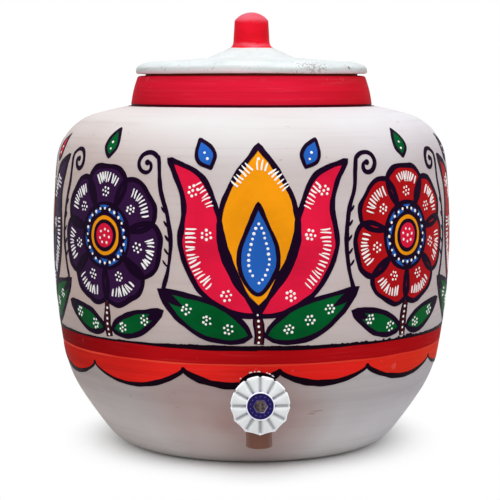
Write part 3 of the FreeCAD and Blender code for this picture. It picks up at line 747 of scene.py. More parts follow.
def lid_rows():
    """Half section of the lid from the axis below, round the edge, to the knob's top."""
    white, red, clay = range(3)
    edge = RIM_RADIUS + LID_OVERHANG - LID_INSET
    ring = MOUTH_RADIUS - LID_RING_GAP
    ring_inside = ring - LID_RING_WALL
    ledge = edge - LID_HOLLOW_WIDTH
    below = (
        (0.0, LID_CEILING), (20.0, LID_CEILING), (40.0, LID_CEILING), (44.0, LID_CEILING - 1.6), (48.0, 0.0),
        (ring_inside, 0.0), (ring_inside, 1.0 - LID_RING_DEPTH), (ring_inside + 1.0, -LID_RING_DEPTH),
        (ring - 1.0, -LID_RING_DEPTH), (ring, 1.0 - LID_RING_DEPTH), (ring, 0.0), (ledge, 0.0),
        (ledge + 0.6, LID_HOLLOW), (edge - 1.6, LID_HOLLOW))
    side = (
        (0.8, LID_HOLLOW + 0.08), (0.3, LID_HOLLOW + 0.45), (0.05, LID_HOLLOW + 1.4), (0.4, 4.2), (1.5, 5.6),
        (3.6, 6.9), (6.9, 8.0), (LID_EDGE_WIDTH, LID_EDGE_HEIGHT))
    rows = [(r, RIM_HEIGHT + up, clay) for r, up in below]
    rows += [(edge - inward, RIM_HEIGHT + up, white) for inward, up in side]
    dish = RIM_HEIGHT + LID_EDGE_HEIGHT
    dish_radius = edge - LID_EDGE_WIDTH
    for k in range(1, 9):
        t = k / 9
        r = dish_radius + (LID_DOME_RADIUS - dish_radius) * t
        rows.append((r, dish + LID_DISH_RISE * t - 0.3, white))
    dome = dish + LID_DISH_RISE
    for k in range(9):
        t = k / 8
        r = LID_DOME_RADIUS + (LID_KNOB_RADIUS + LID_KNOB_FILLET - LID_DOME_RADIUS) * t
        rows.append((r, dome + LID_DOME_RISE * t - 0.4, red if k == 8 else white))
    foot = dome + LID_DOME_RISE
    start = foot + 1.6
    lean = LID_KNOB_SIDE * math.tan(math.radians(LID_KNOB_LEAN))
    rows += [(LID_KNOB_RADIUS + 1.1, foot + 0.5, red), (LID_KNOB_RADIUS + 0.2, start, red)]
    for k in range(1, 8):
        t = k / 7
        rows.append((LID_KNOB_RADIUS - LID_INSET - lean * t, start + LID_KNOB_SIDE * t, red))
    top = start + LID_KNOB_SIDE + LID_KNOB_DOME + 0.3
    for k in range(12):
        t = sin_deg(90.0 - 7.5 * k)
        fall = LID_KNOB_DOME * (0.5 * t * t + 0.5 * (1.0 - math.sqrt(1.0 - t * t)))
        rows.append(((LID_KNOB_RADIUS - LID_INSET - lean) * t, top - fall, red))
    rows.append((0.0, top, red))
    return rows


def hand_formed(phi, r, z):
    """The unevenness of a lid formed by hand, most at its edge."""
    if r < LID_KNOB_RADIUS + 2.0:
        return r * (1.0 + 0.012 * ripple_round(phi, 2.0, z * 0.11)), z
    if r < LID_KNOB_RADIUS + 3.0:
        edge = ripple_round(phi, 1.5, 5.0)
        return r - 0.3 + 0.9 * edge, z + 0.12 - 0.36 * edge
    if z <= RIM_HEIGHT + 0.01:
        return r, z
    share = clamp((r - 30.0) / 45.0)
    slow = ripple_round(phi, 1.6, z * 0.05)
    quick = 0.12 * ripple_round(phi, 7.0, z * 0.3)
    down = share * (0.25 + 0.4 * slow + quick)
    return r - share * max(0.0, 0.25 + 0.5 * slow + quick), z - max(0.0, down)


def make_lid():
    materials = [mat[name] for name in ("lid", "knob_red", "clay")]
    lid = lathe("lid_painted", lid_rows(), materials, hand_formed, sides=240, sharp=50.0)
    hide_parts("lid")
    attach(lid, "lid")


# --- paint on the wall ---

coats = {}


def lay(colour, verts, faces):
    """Adds a thin closed solid of paint to its colour's coat."""
    gather(coats.setdefault(colour, ([], [])), verts, faces)


def smooth(points, closed=True, corners=(), samples=11):
    """A Catmull-Rom curve through points, with a break of direction at each corner index."""
    n = len(points)
    result = []
    for i in range(n if closed else n - 1):
        p1, p2 = points[i], points[(i + 1) % n]
        p0 = points[i - 1] if (closed or i > 0) and i not in corners else p1
        last = (i + 1) % n in corners or (not closed and i + 2 >= n)
        p3 = p2 if last else points[(i + 2) % n]
        for k in range(samples):
            t = k / samples
            point = []
            for a, b, c, d in zip(p0, p1, p2, p3):
                value = 2 * b + (c - a) * t + (2 * a - 5 * b + 4 * c - d) * t * t
                point.append(0.5 * (value + (3 * b - a - 3 * c + d) * t ** 3))
            result.append(tuple(point))
    return result if closed else result + [points[-1]]


def hand(points, amount=0.45, sway=1.1):
    """The small tremor and slow sway of a brush along a line."""
    moved = []
    for x, y in points:
        quick = noise.noise_vector(Vector((x / 13.0, y / 13.0, 3.7)))
        slow = noise.noise_vector(Vector((x / 42.0, y / 42.0, 9.2)))
        moved.append((x + amount * quick.x + sway * slow.x, y + amount * quick.y + sway * slow.y))
    return moved


def place(points, x=0.0, y=0.0, turn=0.0, size=1.0, mirror=False):
    """Points scaled, mirrored in x, turned clockwise by degrees and moved."""
    c, s = cos_deg(turn), sin_deg(turn)
    placed = []
    for px, py in points:
        px = -px if mirror else px
        placed.append((x + size * (px * c + py * s), y + size * (py * c - px * s)))
    return placed


def inside(x, y, loop):
    hit = False
    for i, (x1, y1) in enumerate(loop):
        x2, y2 = loop[i - 1]
        if (y1 > y) != (y2 > y) and x < (x2 - x1) * (y - y1) / (y2 - y1) + x1:
            hit = not hit
    return hit


def fill(colour, loop, lift, grid=3.6):
    """A closed patch of paint with the loop as its edge."""
    xs, ys = zip(*loop)
    flat = [Vector(p) for p in loop]
    count = len(flat)
    for i in range(int((max(xs) - min(xs)) / grid) + 1):
        for j in range(int((max(ys) - min(ys)) / grid) + 1):
            x = min(xs) + (i + 0.5 * (j % 2)) * grid
            y = min(ys) + j * grid
            near = min((x - a) ** 2 + (y - b) ** 2 for a, b in loop)
            if near > (0.45 * grid) ** 2 and inside(x, y, loop):
                flat.append(Vector((x, y)))
    outline = [(i, (i + 1) % count) for i in range(count)]
    points, _, triangles, *_ = geometry.delaunay_2d_cdt(flat, outline, [], 1, 1e-5)
    triangles = [t for t in triangles if inside(
        sum(points[i][0] for i in t) / 3, sum(points[i][1] for i in t) / 3, loop)]
    total = len(points)
    verts = [on_wall(p[0], p[1], height) for height in (lift, SUNK) for p in points]
    faces = [tuple(t) for t in triangles] + [tuple(i + total for i in reversed(t)) for t in triangles]
    edges = [(t[k - 1], t[k]) for t in triangles for k in (1, 2, 0)]
    known = set(edges)
    faces += [(b, a, a + total, b + total) for a, b in edges if (b, a) not in known]
    lay(colour, verts, faces)


def ribbon(colour, path, width, lift=LINE_COAT, closed=False, taper=(1.0, 1.0), grain=0.2, lean=0.0):
    """A brush line along a path, sunk below the skin at its edges.

    taper gives the width's share at both ends, and lean widens the line towards its end."""
    n = len(path)
    verts = []
    for i, (x, y) in enumerate(path):
        ax, ay = path[i - 1] if closed or i > 0 else path[i]
        bx, by = path[(i + 1) % n] if closed or i < n - 1 else path[i]
        dx, dy = bx - ax, by - ay
        size = math.hypot(dx, dy) or 1.0
        nx, ny = -dy / size, dx / size
        ease = 1.0
        if not closed:
            t = i / (n - 1)
            ease = min(1.0, taper[0] + (1 - taper[0]) * t / 0.3, taper[1] + (1 - taper[1]) * (1 - t) / 0.3)
            ease *= 1.0 + lean * (2 * t - 1)
        half = 0.5 * width * ease * (1.0 + 0.34 * ripple(x / 13.0, y / 13.0, 8.1))
        left, right = (half * (1.0 + grain * ripple(x / 5.0, y / 5.0, row)) for row in (21.3, 47.9))
        for side, height in ((left, SUNK), (0.85 * left, lift), (-0.85 * right, lift), (-right, SUNK)):
            verts.append(on_wall(x + nx * side, y + ny * side, height))
    lay(colour, verts, skin([4] * n, closed))


def dot(x, y, radius, colour="white", lift=DOT_COAT, sides=12):
    """A low round blob of paint."""
    verts = [on_wall(x, y, SUNK)]
    for share, height in ((1.0, SUNK), (0.92, 0.55 * lift), (0.55, 0.92 * lift)):
        verts += [on_wall(a, b, height) for a, b in circle(x, y, radius * share, sides)]
    verts.append(on_wall(x, y, lift))
    lay(colour, verts, skin([1, sides, sides, sides, 1]))


def belt(colour, top, bottom, lift, rows=5, turns=720):
    """A ring of paint right round the pot between two heights, each given for an x."""
    spans = []
    for k in range(turns):
        x = UNROLL_RADIUS * TAU * k / turns
        spans.append((x, top(x), bottom(x)))
    levels = [(lift, j) for j in range(rows, -1, -1)] + [(SUNK, j) for j in range(rows + 1)]
    verts = [on_wall(x, a + (b - a) * j / rows, height) for height, j in levels for x, a, b in spans]
    lay(colour, verts, skin([turns] * len(levels), closed=True))


def shape(colour, loop, line=3.9, lift=COAT):
    """A patch with its dark outline."""
    loop = hand(loop)
    fill(colour, loop, lift)
    ribbon("plum", loop, line, lift + LINE_RISE, closed=True)
    if colour == "orange":
        smear(loop, lift)


def smear(loop, lift, inset=2.3):
    """Dark paint dragged from the outline into wet orange, here and there."""
    centre_x, centre_y = (sum(p[i] for p in loop) / len(loop) for i in (0, 1))
    for _ in range(4):
        first = random.randrange(len(loop))
        path = []
        for k in range(random.randrange(9, 17)):
            x, y = loop[(first + k) % len(loop)]
            away = math.hypot(x - centre_x, y - centre_y) or 1.0
            path.append((x - inset * (x - centre_x) / away, y - inset * (y - centre_y) / away))
        ribbon("ochre", path, 1.5, lift + 0.05, taper=(0.2, 0.2))


def blobs(points, radius):
    for x, y in points:
        size = radius * random.uniform(0.85, 1.12)
        dot(x + random.uniform(-0.2, 0.2), y + random.uniform(-0.2, 0.2), size)


def cluster(x, y, reach=3.0, radius=0.98, count=6):
    """A dot with a ring of dots round it."""
    first = random.uniform(0, 60)
    ring = []
    for k in range(count):
        angle = first + 360 * k / count + random.uniform(-9, 9)
        away = reach * random.uniform(0.9, 1.1)
        ring.append((x + away * cos_deg(angle), y + away * sin_deg(angle)))
    blobs([(x, y)] + ring, radius)


def even_points(path, gap):
    """Points along a path, a given distance apart."""
    result, carried = [path[0]], 0.0
    for (x1, y1), (x2, y2) in zip(path, path[1:]):
        size = math.hypot(x2 - x1, y2 - y1)
        while carried + size >= gap:
            t = (gap - carried) / size
            x1, y1 = x1 + (x2 - x1) * t, y1 + (y2 - y1) * t
            result.append((x1, y1))
            size = math.hypot(x2 - x1, y2 - y1)
            carried = 0.0
        carried += size
    return result


def comb(path, length, gap=2.7, width=1.25, **at):
    """White strokes side by side along a path, each running off to the path's left by length."""
    points = even_points(path, gap)
    for (x1, y1), (x2, y2) in zip(points, points[1:]):
        size = math.hypot(x2 - x1, y2 - y1)
        dx, dy = (x2 - x1) / size, (y2 - y1) / size
        reach = length * random.uniform(0.8, 1.15)
        slant = reach * random.uniform(-0.08, 0.22)
        x1 += random.uniform(-0.25, 0.25)
        end = (x1 - dy * reach + dx * slant, y1 + dx * reach + dy * slant)
        bow = random.uniform(-0.3, 0.3)
        stroke = []
        for t in (0.0, 0.25, 0.5, 0.75, 1.0):
            lean = bow * math.sin(math.pi * t)
            stroke.append((x1 + (end[0] - x1) * t + dx * lean, y1 + (end[1] - y1) * t + dy * lean))
        ribbon("white", place(stroke, **at), width * random.uniform(0.85, 1.2), DOT_COAT, taper=(0.85, 0.35))


# --- motifs ---

def mirrored(half):
    """A loop from one half of it and the same mirrored in x; the half ends on the mirror line."""
    return half + [(-x, y) for x, y in half[-2:0:-1]]


def petal_loop(length, width):
    half = [(0.0, 0.0), (0.3 * width, 0.16 * length), (0.47 * width, 0.45 * length),
            (0.49 * width, 0.72 * length), (0.3 * width, 0.94 * length), (0.0, 0.97 * length)]
    return smooth(mirrored(half), corners=(0,))


def disc(x, y, radius, colour, lift):
    """A round patch with its outline."""
    loop = hand(circle(x, y, radius, max(24, int(1.6 * radius) * 2)), 0.35)
    fill(colour, loop, lift)
    ribbon("plum", loop, 3.0, lift + LINE_RISE, closed=True)


def rosette(x, y, radius, petals, petal_colour, ring_colour, inner_colour, core_colour):
    """A round flower: broad petals round two rings and a core."""
    start = 0.34 * radius
    length = radius - start
    width = 2.0 * math.tan(math.pi / petals) * (start + 0.62 * length) * 1.04
    for k in range(petals):
        angle = 360.0 * k / petals
        at = {"x": x + start * sin_deg(angle), "y": y + start * cos_deg(angle), "turn": angle}
        shape(petal_colour, place(petal_loop(length, width), **at))
        arc = [(0.33 * width * t, (0.86 - 0.13 * t * t) * length) for t in (1.0, 0.6, 0.2, -0.2, -0.6, -1.0)]
        comb(arc, 0.2 * length, **at)
        cluster(*place([(0.0, 0.43 * length)], **at)[0], reach=0.09 * length, radius=0.85)
    disc(x, y, 0.46 * radius, ring_colour, COAT + 0.06)
    blobs(circle(x, y, 0.385 * radius, 24), 1.15)
    disc(x, y, 0.31 * radius, inner_colour, COAT + 0.09)
    disc(x, y, 0.2 * radius, core_colour, COAT + 0.12)
    cluster(x, y, 0.1 * radius, 1.0, 7)


def tulip(x, y, side_colour, heart_colour, drop_colour):
    """An upright flower with two curled side petals, a middle petal and a drop in its heart."""
    at = {"x": x, "y": y, "size": 1.2}
    middle = mirrored([(0, 4), (13, 20), (21, 42), (16, 67), (0, 90)])
    shape(heart_colour, place(smooth(middle, corners=(0, 4)), **at))
    comb([(12.5, 66), (8, 72), (3, 77), (-3, 77), (-8, 72), (-12.5, 66)], -5.6, 2.3, **at)
    blobs(place([(0, 83)], **at), 1.2)
    side = [(0, 0), (15, 2), (32, 14), (42, 36), (40, 60), (49, 82), (31, 74), (22, 56), (18, 37), (9, 17)]
    edge = [(28, 14.5), (34, 22), (38, 31), (39, 40), (38.4, 49)]
    for mirror in (False, True):
        own = dict(at, mirror=mirror)
        shape(side_colour, place(smooth(side, corners=(0, 5)), **own), lift=COAT + 0.06)
        comb(smooth(edge, closed=False), 5.6, 2.3, **own)
        comb(smooth([(30.5, 70.5), (25.5, 62.5), (22.8, 55)], closed=False), 4.4, 2.3, 1.2, **own)
        for spot in ((35, 66), (17, 11), (27.5, 43)):
            cluster(*place([spot], **own)[0])
    drop = mirrored([(0, 12), (8.5, 22), (10, 34), (5.5, 47), (0, 60)])
    shape(drop_colour, place(smooth(drop, corners=(4,)), **at), 3.2, COAT + 0.09)
    seam = smooth([(0, 18), (4.6, 25), (5.0, 34), (0, 49), (-5.0, 34), (-4.6, 25)])
    blobs(even_points(place(seam, **at), 3.4)[:-1], 1.05)


def leaf(base, tip, bend, width, spots=3, **at):
    """A pointed leaf on a curved rib, dark at its tip; bend is how far the rib bows to its left."""
    (x1, y1), (x2, y2) = base, tip
    size = math.hypot(x2 - x1, y2 - y1)
    nx, ny = -(y2 - y1) / size, (x2 - x1) / size
    middle = (0.5 * (x1 + x2) + nx * bend, 0.5 * (y1 + y2) + ny * bend)
    rib, left, right = [], [], []
    count = 18
    for k in range(count + 1):
        t = k / count
        a, b = (p * (1 - t) ** 2 + 2 * m * t * (1 - t) + q * t * t for p, m, q in zip(base, middle, tip))
        dx, dy = (2 * (1 - t) * (m - p) + 2 * t * (q - m) for p, m, q in zip(base, middle, tip))
        step = math.hypot(dx, dy)
        half = 0.5 * width * math.sin(math.pi * t ** 0.8) ** 0.85
        rib.append((a, b))
        left.append((a - dy / step * half, b + dx / step * half))
        right.append((a + dy / step * half, b - dx / step * half))
    shape("green", place(left + right[-2:0:-1], **at), 3.8)
    ribbon("plum", hand(place(rib[-6:], **at)), 5.4, COAT + LINE_RISE, taper=(0.3, 0.4))
    for k in range(spots):
        t = 0.26 + 0.42 * k / max(1, spots - 1)
        cluster(*place([rib[int(t * count)]], **at)[0], reach=2.7, radius=0.9)


def stem(path):
    """A brown stem with a dark edge and a row of dots."""
    path = hand(smooth(path, closed=False, samples=9))
    ribbon("plum", path, 7.6, COAT, taper=(1.0, 0.7))
    ribbon("brown", path, 5.0, COAT + 0.05, taper=(1.0, 0.7))
    blobs(even_points(path[2:-1], 3.6), 0.95)


def tendril(x, y, mirror):
    """A long stalk between two flowers, with short bristles and a curl at its top."""
    path = [(0, 0), (-4, 14), (-6, 30), (-3.5, 48), (1.5, 64)]
    for k in range(17):
        a = 15.0 + 27.0 * k
        reach = 9.4 * (1 - k / 19)
        path.append((12.2 - reach * cos_deg(a), 78 + reach * sin_deg(a)))
    path = hand(place(smooth(path, closed=False, samples=8), x, y, mirror=mirror))
    ribbon("plum", path, 3.2, taper=(1.0, 0.7))
    dot(*path[-1], 2.1, "plum", LINE_COAT + 0.05)
    side = -1 if mirror else 1
    for a, b in path[8:25:4]:
        bristle = [(a, b), (a + 2.2 * side, b + 1.6), (a + 4.0 * side, b + 4.2)]
        ribbon("plum", smooth(bristle, closed=False), 1.7, LINE_COAT - 0.03, taper=(1.0, 0.3))


def bud(x, y, turn, colour):
    loop = smooth([(0, 0), (4.6, 5), (4.2, 11), (0, 18), (-4.2, 11), (-4.6, 5)], corners=(0, 3))
    at = {"x": x, "y": y, "turn": turn, "size": 1.15}
    shape(colour, place(loop, **at), 2.8)
    blobs(place([(0, 5.0), (0, 9.0)], **at), 0.9)


# --- the bands, the garden and the small marks ---

def scallops():
    """Each scallop's first and last angle, the drops of its two cusps and its depth."""
    ends = CUSPS[1:] + (CUSPS[0] + 360.0,)
    return zip(CUSPS, ends, CUSP_DROPS, CUSP_DROPS[1:] + CUSP_DROPS[:1], SCALLOP_DEPTHS)


def scallop_height(x):
    angle = math.degrees(x / UNROLL_RADIUS)
    for first, last, drop, next_drop, depth in scallops():
        for whole in (0.0, 360.0, -360.0):
            t = (angle + whole - first) / (last - first)
            if 0.0 <= t <= 1.0:
                return -drop - (next_drop - drop) * t - depth * math.sin(math.pi * t) ** 0.72
    return -CUSP_DROPS[0]


def seat_top(x):
    """How far down the wall's paint may reach above the tap's seat; to the foot on either side of it."""
    across = math.remainder(x, TAU * UNROLL_RADIUS) * SEAT / UNROLL_RADIUS
    if abs(across) >= SEAT_RADIUS:
        return -LINE_LENGTH
    return length_at(TAP_HEIGHT + math.sqrt(SEAT_RADIUS ** 2 - across ** 2)) - LINE_LENGTH


def waver(x, reach, row):
    """The unevenness of a brushed edge round the pot."""
    return ripple(x / reach, row, 1.0)


def line_thinning(x):
    """How far each edge of the black line draws in."""
    return 0.5 * LINE_WIDTH * LINE_THINNING * (1.0 - math.cos(4.0 * x / UNROLL_RADIUS + 0.3))


def line_top(x):
    """The black line's upper edge, drawn out in bristle marks where the brush ran dry."""
    dry = max(0.0, 1.0 - abs(x - DRY_BRUSH) / DRY_REACH) + 0.5 * max(0.0, waver(x, 30.0, 6.5))
    bristle = max(0.0, waver(x, 1.6, 3.5))
    return 0.5 * waver(x, 14.0, 0.5) + 3.2 * dry * bristle - line_thinning(x)


def line_foot(x):
    return -LINE_WIDTH + 0.5 * waver(x, 18.0, 2.5) + line_thinning(x)


def paint_band():
    """The black line, the dark red band with a painted highlight along its joint with the orange-red, and
    the orange-red scallops with their black edge.
    """
    joint = -BAND_WIDTH + 0.5
    belt("dark_red", lambda x: -0.8 - line_thinning(x), lambda x: -BAND_WIDTH, COAT)
    belt("orange_red", lambda x: joint, lambda x: max(scallop_height(x), seat_top(x)), COAT - 0.02)
    # painted highlight along the joint of the dark red and the orange-red
    belt("band_edge_highlight", lambda x: joint + 0.3 * waver(x, 20.0, 7.5),
         lambda x: -BAND_WIDTH - 0.7 + 0.5 * waver(x, 24.0, 9.5), COAT + 0.03, rows=1)
    belt("black", line_top, line_foot, OVERCOAT)
    for number, (first, last, *_) in enumerate(scallops()):
        width, lean = SCALLOP_LINES[number % len(SCALLOP_LINES)]
        angles = [first + (last - first) * (k / SCALLOP_STEPS) for k in range(SCALLOP_STEPS + 1)]
        path = [(x, scallop_height(x)) for x in (UNROLL_RADIUS * math.radians(a) for a in angles)]
        clear = [y > seat_top(x) or abs(x) > 1.1 * SEAT_RADIUS for x, y in path]
        if all(clear):
            ribbon("black", path, width, taper=(0.6, 0.6), grain=0.1, lean=lean)
        else:
            left = path[:clear.index(False) + 1]
            right = path[-clear[::-1].index(False) - 1:]
            ribbon("black", left, width, taper=(0.6, 1.0), grain=0.1)
            ribbon("black", right, width, taper=(1.0, 0.6), grain=0.1)
        dot(path[0][0], path[0][1] + 0.3, 1.7, "black", LINE_COAT)


def paint_collar_line():
    top = WALL_LENGTH - LINE_LENGTH
    belt("maroon", lambda x: top, lambda x: top - 2.3 + 0.35 * ripple(x / 12.0, 4.0, 2.0), COAT, 2, 240)


GARDEN_STEP = UNROLL_RADIUS * TAU / 4


def paint_garden():
    """Tulips and rosettes by turns round the pot, with leaves, buds and curls between."""
    tulips = (("crimson", "orange", "blue"), ("red", "orange", "blue"),
              ("orange", "crimson", "blue"), ("purple", "orange", "crimson"))
    rosettes = (("red", "blue", "orange", "crimson"), ("orange", "green", "white", "crimson"),
                ("crimson", "blue", "orange", "purple"), ("purple", "blue", "orange", "crimson"))
    buds = ("blue", "purple", "blue", "crimson")
    for k in range(4):
        x = k * GARDEN_STEP
        stem([(x, 0.5), (x + 1.0, 9), (x - 0.5, 22)])
        tulip(x, 19, *tulips[k])
        for mirror in (False, True):
            side = -1 if mirror else 1
            leaf((5, 6), (66, 35), -6, 23, x=x, mirror=mirror)
            tendril(x + side * 63, 36, mirror)
            bud(x + side * 31, 113, side * 24, buds[k])
        x += 0.5 * GARDEN_STEP
        stem([(x, 0.5), (x - 0.8, 10), (x + 0.4, 24)])
        rosette(x, 67, 46, 7, *rosettes[k])
        for mirror in (False, True):
            leaf((4, 6), (45, 20), -3, 14.5, 2, x=x, mirror=mirror)
        bud(x, 118, 0, "green")


SEAT_LINE = range(20, 164, 4)
SEAT_FLAKES = ((50, 58), (60, 66), (68, 71), (85, 93), (97, 100), (104, 112), (134, 137))


def paint_tap_seat():
    """A black line round the top of the tap's seat, with the paint flaked off its edge."""
    def rim_point(angle, radius):
        height = TAP_HEIGHT + radius * sin_deg(angle)
        return radius * cos_deg(angle) * UNROLL_RADIUS / SEAT, length_at(height) - LINE_LENGTH

    line = [rim_point(a, SEAT_RADIUS + 0.1) for a in SEAT_LINE]
    ribbon("black", hand(line, 0.2, sway=0.0), 2.2, COAT + 0.1, taper=(0.5, 0.5))
    for first, last in SEAT_FLAKES:
        angles = [first + (last - first) * t / 4 for t in range(5)]
        flake = [rim_point(a, SEAT_RADIUS + random.uniform(1.3, 1.8)) for a in angles]
        ribbon("white", flake, 0.85, COAT + 0.16, taper=(0.3, 0.4))


def paint_seat_edge():
    """The same black line on the seat's own face."""
    inner = SEAT_RADIUS - 4.5
    back, front = SEAT - 0.5, SEAT + 0.1
    section = ((SEAT_RADIUS, back), (SEAT_RADIUS, front), (inner, front), (inner, back))
    verts = [tap_point(r * cos_deg(a), r * sin_deg(a), station) for a in SEAT_LINE for r, station in section]
    edge = solid("paint_seat_edge", verts, skin([len(section)] * len(SEAT_LINE)), [mat["black"]])
    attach(edge, "pot")


def paint_scuffs():
    """Two small scratches down to the clay, low on the wall beside the tap."""
    low = length_at(41.0) - LINE_LENGTH
    for width, path in (
            (0.5, [(39, low - 0.6), (42, low - 0.4), (45, low), (48, low + 0.2)]),
            (0.8, [(37, low - 2.2), (39, low - 2.2), (41, low - 2.4), (43, low - 2.2)])):
        ribbon("clay_scuff", hand(path), width, taper=(0.1, 0.1))


def finish_coats():
    for name, (verts, faces) in coats.items():
        obj = new_object("paint_" + name, verts, faces, [mat[name]], sharp=30.0)
        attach(obj, "pot")


# --- the tap ---

KNOB_RADIUS = 18.6
KNOB_LOBES = 12
LOBE_HALF = math.pi / KNOB_LOBES
RING_RADIUS = 8.9
RING_PROUD = 0.75
FACET_SLOPE = 0.12
PILLOW = 0.8
GROOVE_DEPTH = 1.6
LOBE_BEVEL = 5.0
NOTCH_DEPTH = 1.3
SIDE_HOLLOW = 0.55
UPPER_FULLNESS = 0.75
SKIRT_TAPER = 2.2
SKIRT_RADIUS = 13.8
WEB_DEPTH = 6.2
WEB_HOLE = 4.3
RECESS_DEPTH = 2.6
DISC_RADIUS = 8.12
FACE_RADII = (RING_RADIUS - 0.2, 9.7, 10.6, 12.0, 13.5, 15.0, 16.2, 17.0)
SIDE_STEPS = ((0.962, 0.05), (0.985, 0.3), (1.0, 0.8), (0.99, 2.0), (0.975, 3.4), (0.96, 5.0))

# across half a groove and up the lobe beside it: distance from the groove's middle, share of its depth
GROOVE_SIDE = ((0.0, 1.0), (0.66, 0.97), (0.98, 0.52), (1.26, 0.15), (1.8, 0.0))
LOBE_STEPS = 4


def lobe_columns():
    """The knob's columns all round: (the lobe's middle angle, its groove's angle, side, step)."""
    last = len(GROOVE_SIDE) + LOBE_STEPS - 1
    columns = []
    for lobe in range(KNOB_LOBES):
        first = 0.5 * math.pi + 2 * LOBE_HALF * lobe
        middle = first + LOBE_HALF
        columns += [(middle, first, 1, step) for step in range(last + 1)]
        columns += [(middle, first + 2 * LOBE_HALF, -1, step) for step in range(last - 1, 0, -1)]
    return columns


COLUMNS = lobe_columns()


def column_directions(radius):
    """Where each column crosses a radius: unit direction, distance across the facet, groove share."""
    for middle, groove, side, step in COLUMNS:
        inner = min(step, len(GROOVE_SIDE) - 1)
        offset, share = GROOVE_SIDE[inner]
        t = (step - inner) / LOBE_STEPS
        along = math.sqrt(radius * radius - offset * offset)
        x = along * math.cos(groove) - side * offset * math.sin(groove)
        y = along * math.sin(groove) + side * offset * math.cos(groove)
        x += (radius * math.cos(middle) - x) * t
        y += (radius * math.sin(middle) - y) * t
        size = math.hypot(x, y)
        x, y = x / size, y / size
        yield x, y, radius * (x * math.cos(middle) + y * math.sin(middle)), share


def plain_loop(radius, station):
    """A plain ring of the knob's columns."""
    return [tap_point(radius * x, radius * y, station) for x, y, *_ in column_directions(KNOB_RADIUS)]


def lobe_loop(radius, face):
    """A ring across the lobes' faces and down into the grooves."""
    loop = []
    fade = clamp((radius - RING_RADIUS + 0.3) / 1.2)
    for x, y, across, share in column_directions(radius):
        lateral = math.sqrt(max(radius * radius - across * across, 0.0)) / (radius * math.sin(LOBE_HALF))
        station = face - RING_PROUD - (across - RING_RADIUS) * FACET_SLOPE
        station -= fade * (0.15 + PILLOW * lateral ** 2) - PILLOW * fade * 0.6
        station -= share * GROOVE_DEPTH * min(1.0, fade + 0.6)
        loop.append(tap_point(radius * x, radius * y, station))
    return loop


def side_loop(face, back, share, drop):
    """A ring on the knob's side, at a share of its radius and a drop behind the face.

    The lower lobes are flat-sided in front, hollow between their tips, and grow round towards the
    back. The side and upper lobes are nearly round all the way, and the grooves notch the upper rim.
    """
    loop = []
    for x, y, across, depth in column_directions(KNOB_RADIUS):
        flat = KNOB_RADIUS * math.cos(LOBE_HALF) * KNOB_RADIUS / across
        bow = KNOB_RADIUS - flat
        upper = clamp(0.5 + 1.6 * y)
        rounding = max(clamp(drop / LOBE_BEVEL), UPPER_FULLNESS * clamp(1.0 + 2.5 * y))
        hollow = SIDE_HOLLOW * (1.0 - rounding) * bow / (KNOB_RADIUS * (1.0 - math.cos(LOBE_HALF)))
        radius = share * (flat + bow * rounding) - hollow * (1.0 - 0.7 * upper)
        radius -= NOTCH_DEPTH * depth ** 2 * upper * min(1.0, 0.6 + 0.2 * drop)
        top = face - RING_PROUD - (flat * math.cos(LOBE_HALF) - RING_RADIUS) * FACET_SLOPE
        station = max(top - drop - depth * GROOVE_DEPTH * max(0.0, 1.0 - drop), back)
        loop.append(tap_point(radius * x, radius * y, station))
    return loop


def make_knob():
    """Twelve lobes between straight grooves, round a raised ring, hollow behind, with painted shade and
    painted highlight.
    """
    low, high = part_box("tap_knob")
    face, back = -low.y / MM, -high.y / MM
    skirt = KNOB_RADIUS - SKIRT_TAPER
    loops = [lobe_loop(radius, face) for radius in FACE_RADII]
    loops += [side_loop(face, back, share, drop) for share, drop in SIDE_STEPS]
    loops.append(side_loop(face, back, skirt / KNOB_RADIUS, face - back))
    loops += [plain_loop(radius, station) for radius, station in (
        (skirt - 2.0, back), (SKIRT_RADIUS + 0.4, back), (SKIRT_RADIUS, back + 0.4),
        (SKIRT_RADIUS, face - WEB_DEPTH), (WEB_HOLE, face - WEB_DEPTH), (WEB_HOLE, face - RECESS_DEPTH),
        (DISC_RADIUS + 0.08, face - RECESS_DEPTH), (DISC_RADIUS + 0.08, face - 0.3),
        (DISC_RADIUS + 0.2, face - 0.05), (DISC_RADIUS + 0.4, face), (RING_RADIUS - 0.2, face - 0.12),
        (RING_RADIUS, face - 0.4))]
    verts = [point for loop in loops for point in loop]
    white, groove_shade, highlight, groove_end_shade = range(4)
    rim, last = len(FACE_RADII), len(loops) - 1
    # painted shade: grey in the grooves, purple-grey at their inner ends; painted highlight: white on the
    # lobes' outer edges and the ring round the disc
    indices = []
    for i in range(len(loops)):
        for c, column in enumerate(COLUMNS):
            in_groove = 0 in (column[3], COLUMNS[(c + 1) % len(COLUMNS)][3])
            if in_groove and i in (0, last):
                indices.append(groove_end_shade)
            elif i > last - 5 or i in (rim, rim + 1):
                indices.append(highlight)
            else:
                indices.append(groove_shade if in_groove and i < rim - 1 else white)
    finishes = [mat[name] for name in ("tap_white", "tap_groove_shade", "tap_highlight", "groove_end_shade")]
    faces = skin([len(COLUMNS)] * len(loops), closed=True)
    knob = solid("knob_lobes", verts, faces, finishes, indices, sharp=38.0)
    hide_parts("tap_knob")
    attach(knob, "knob")


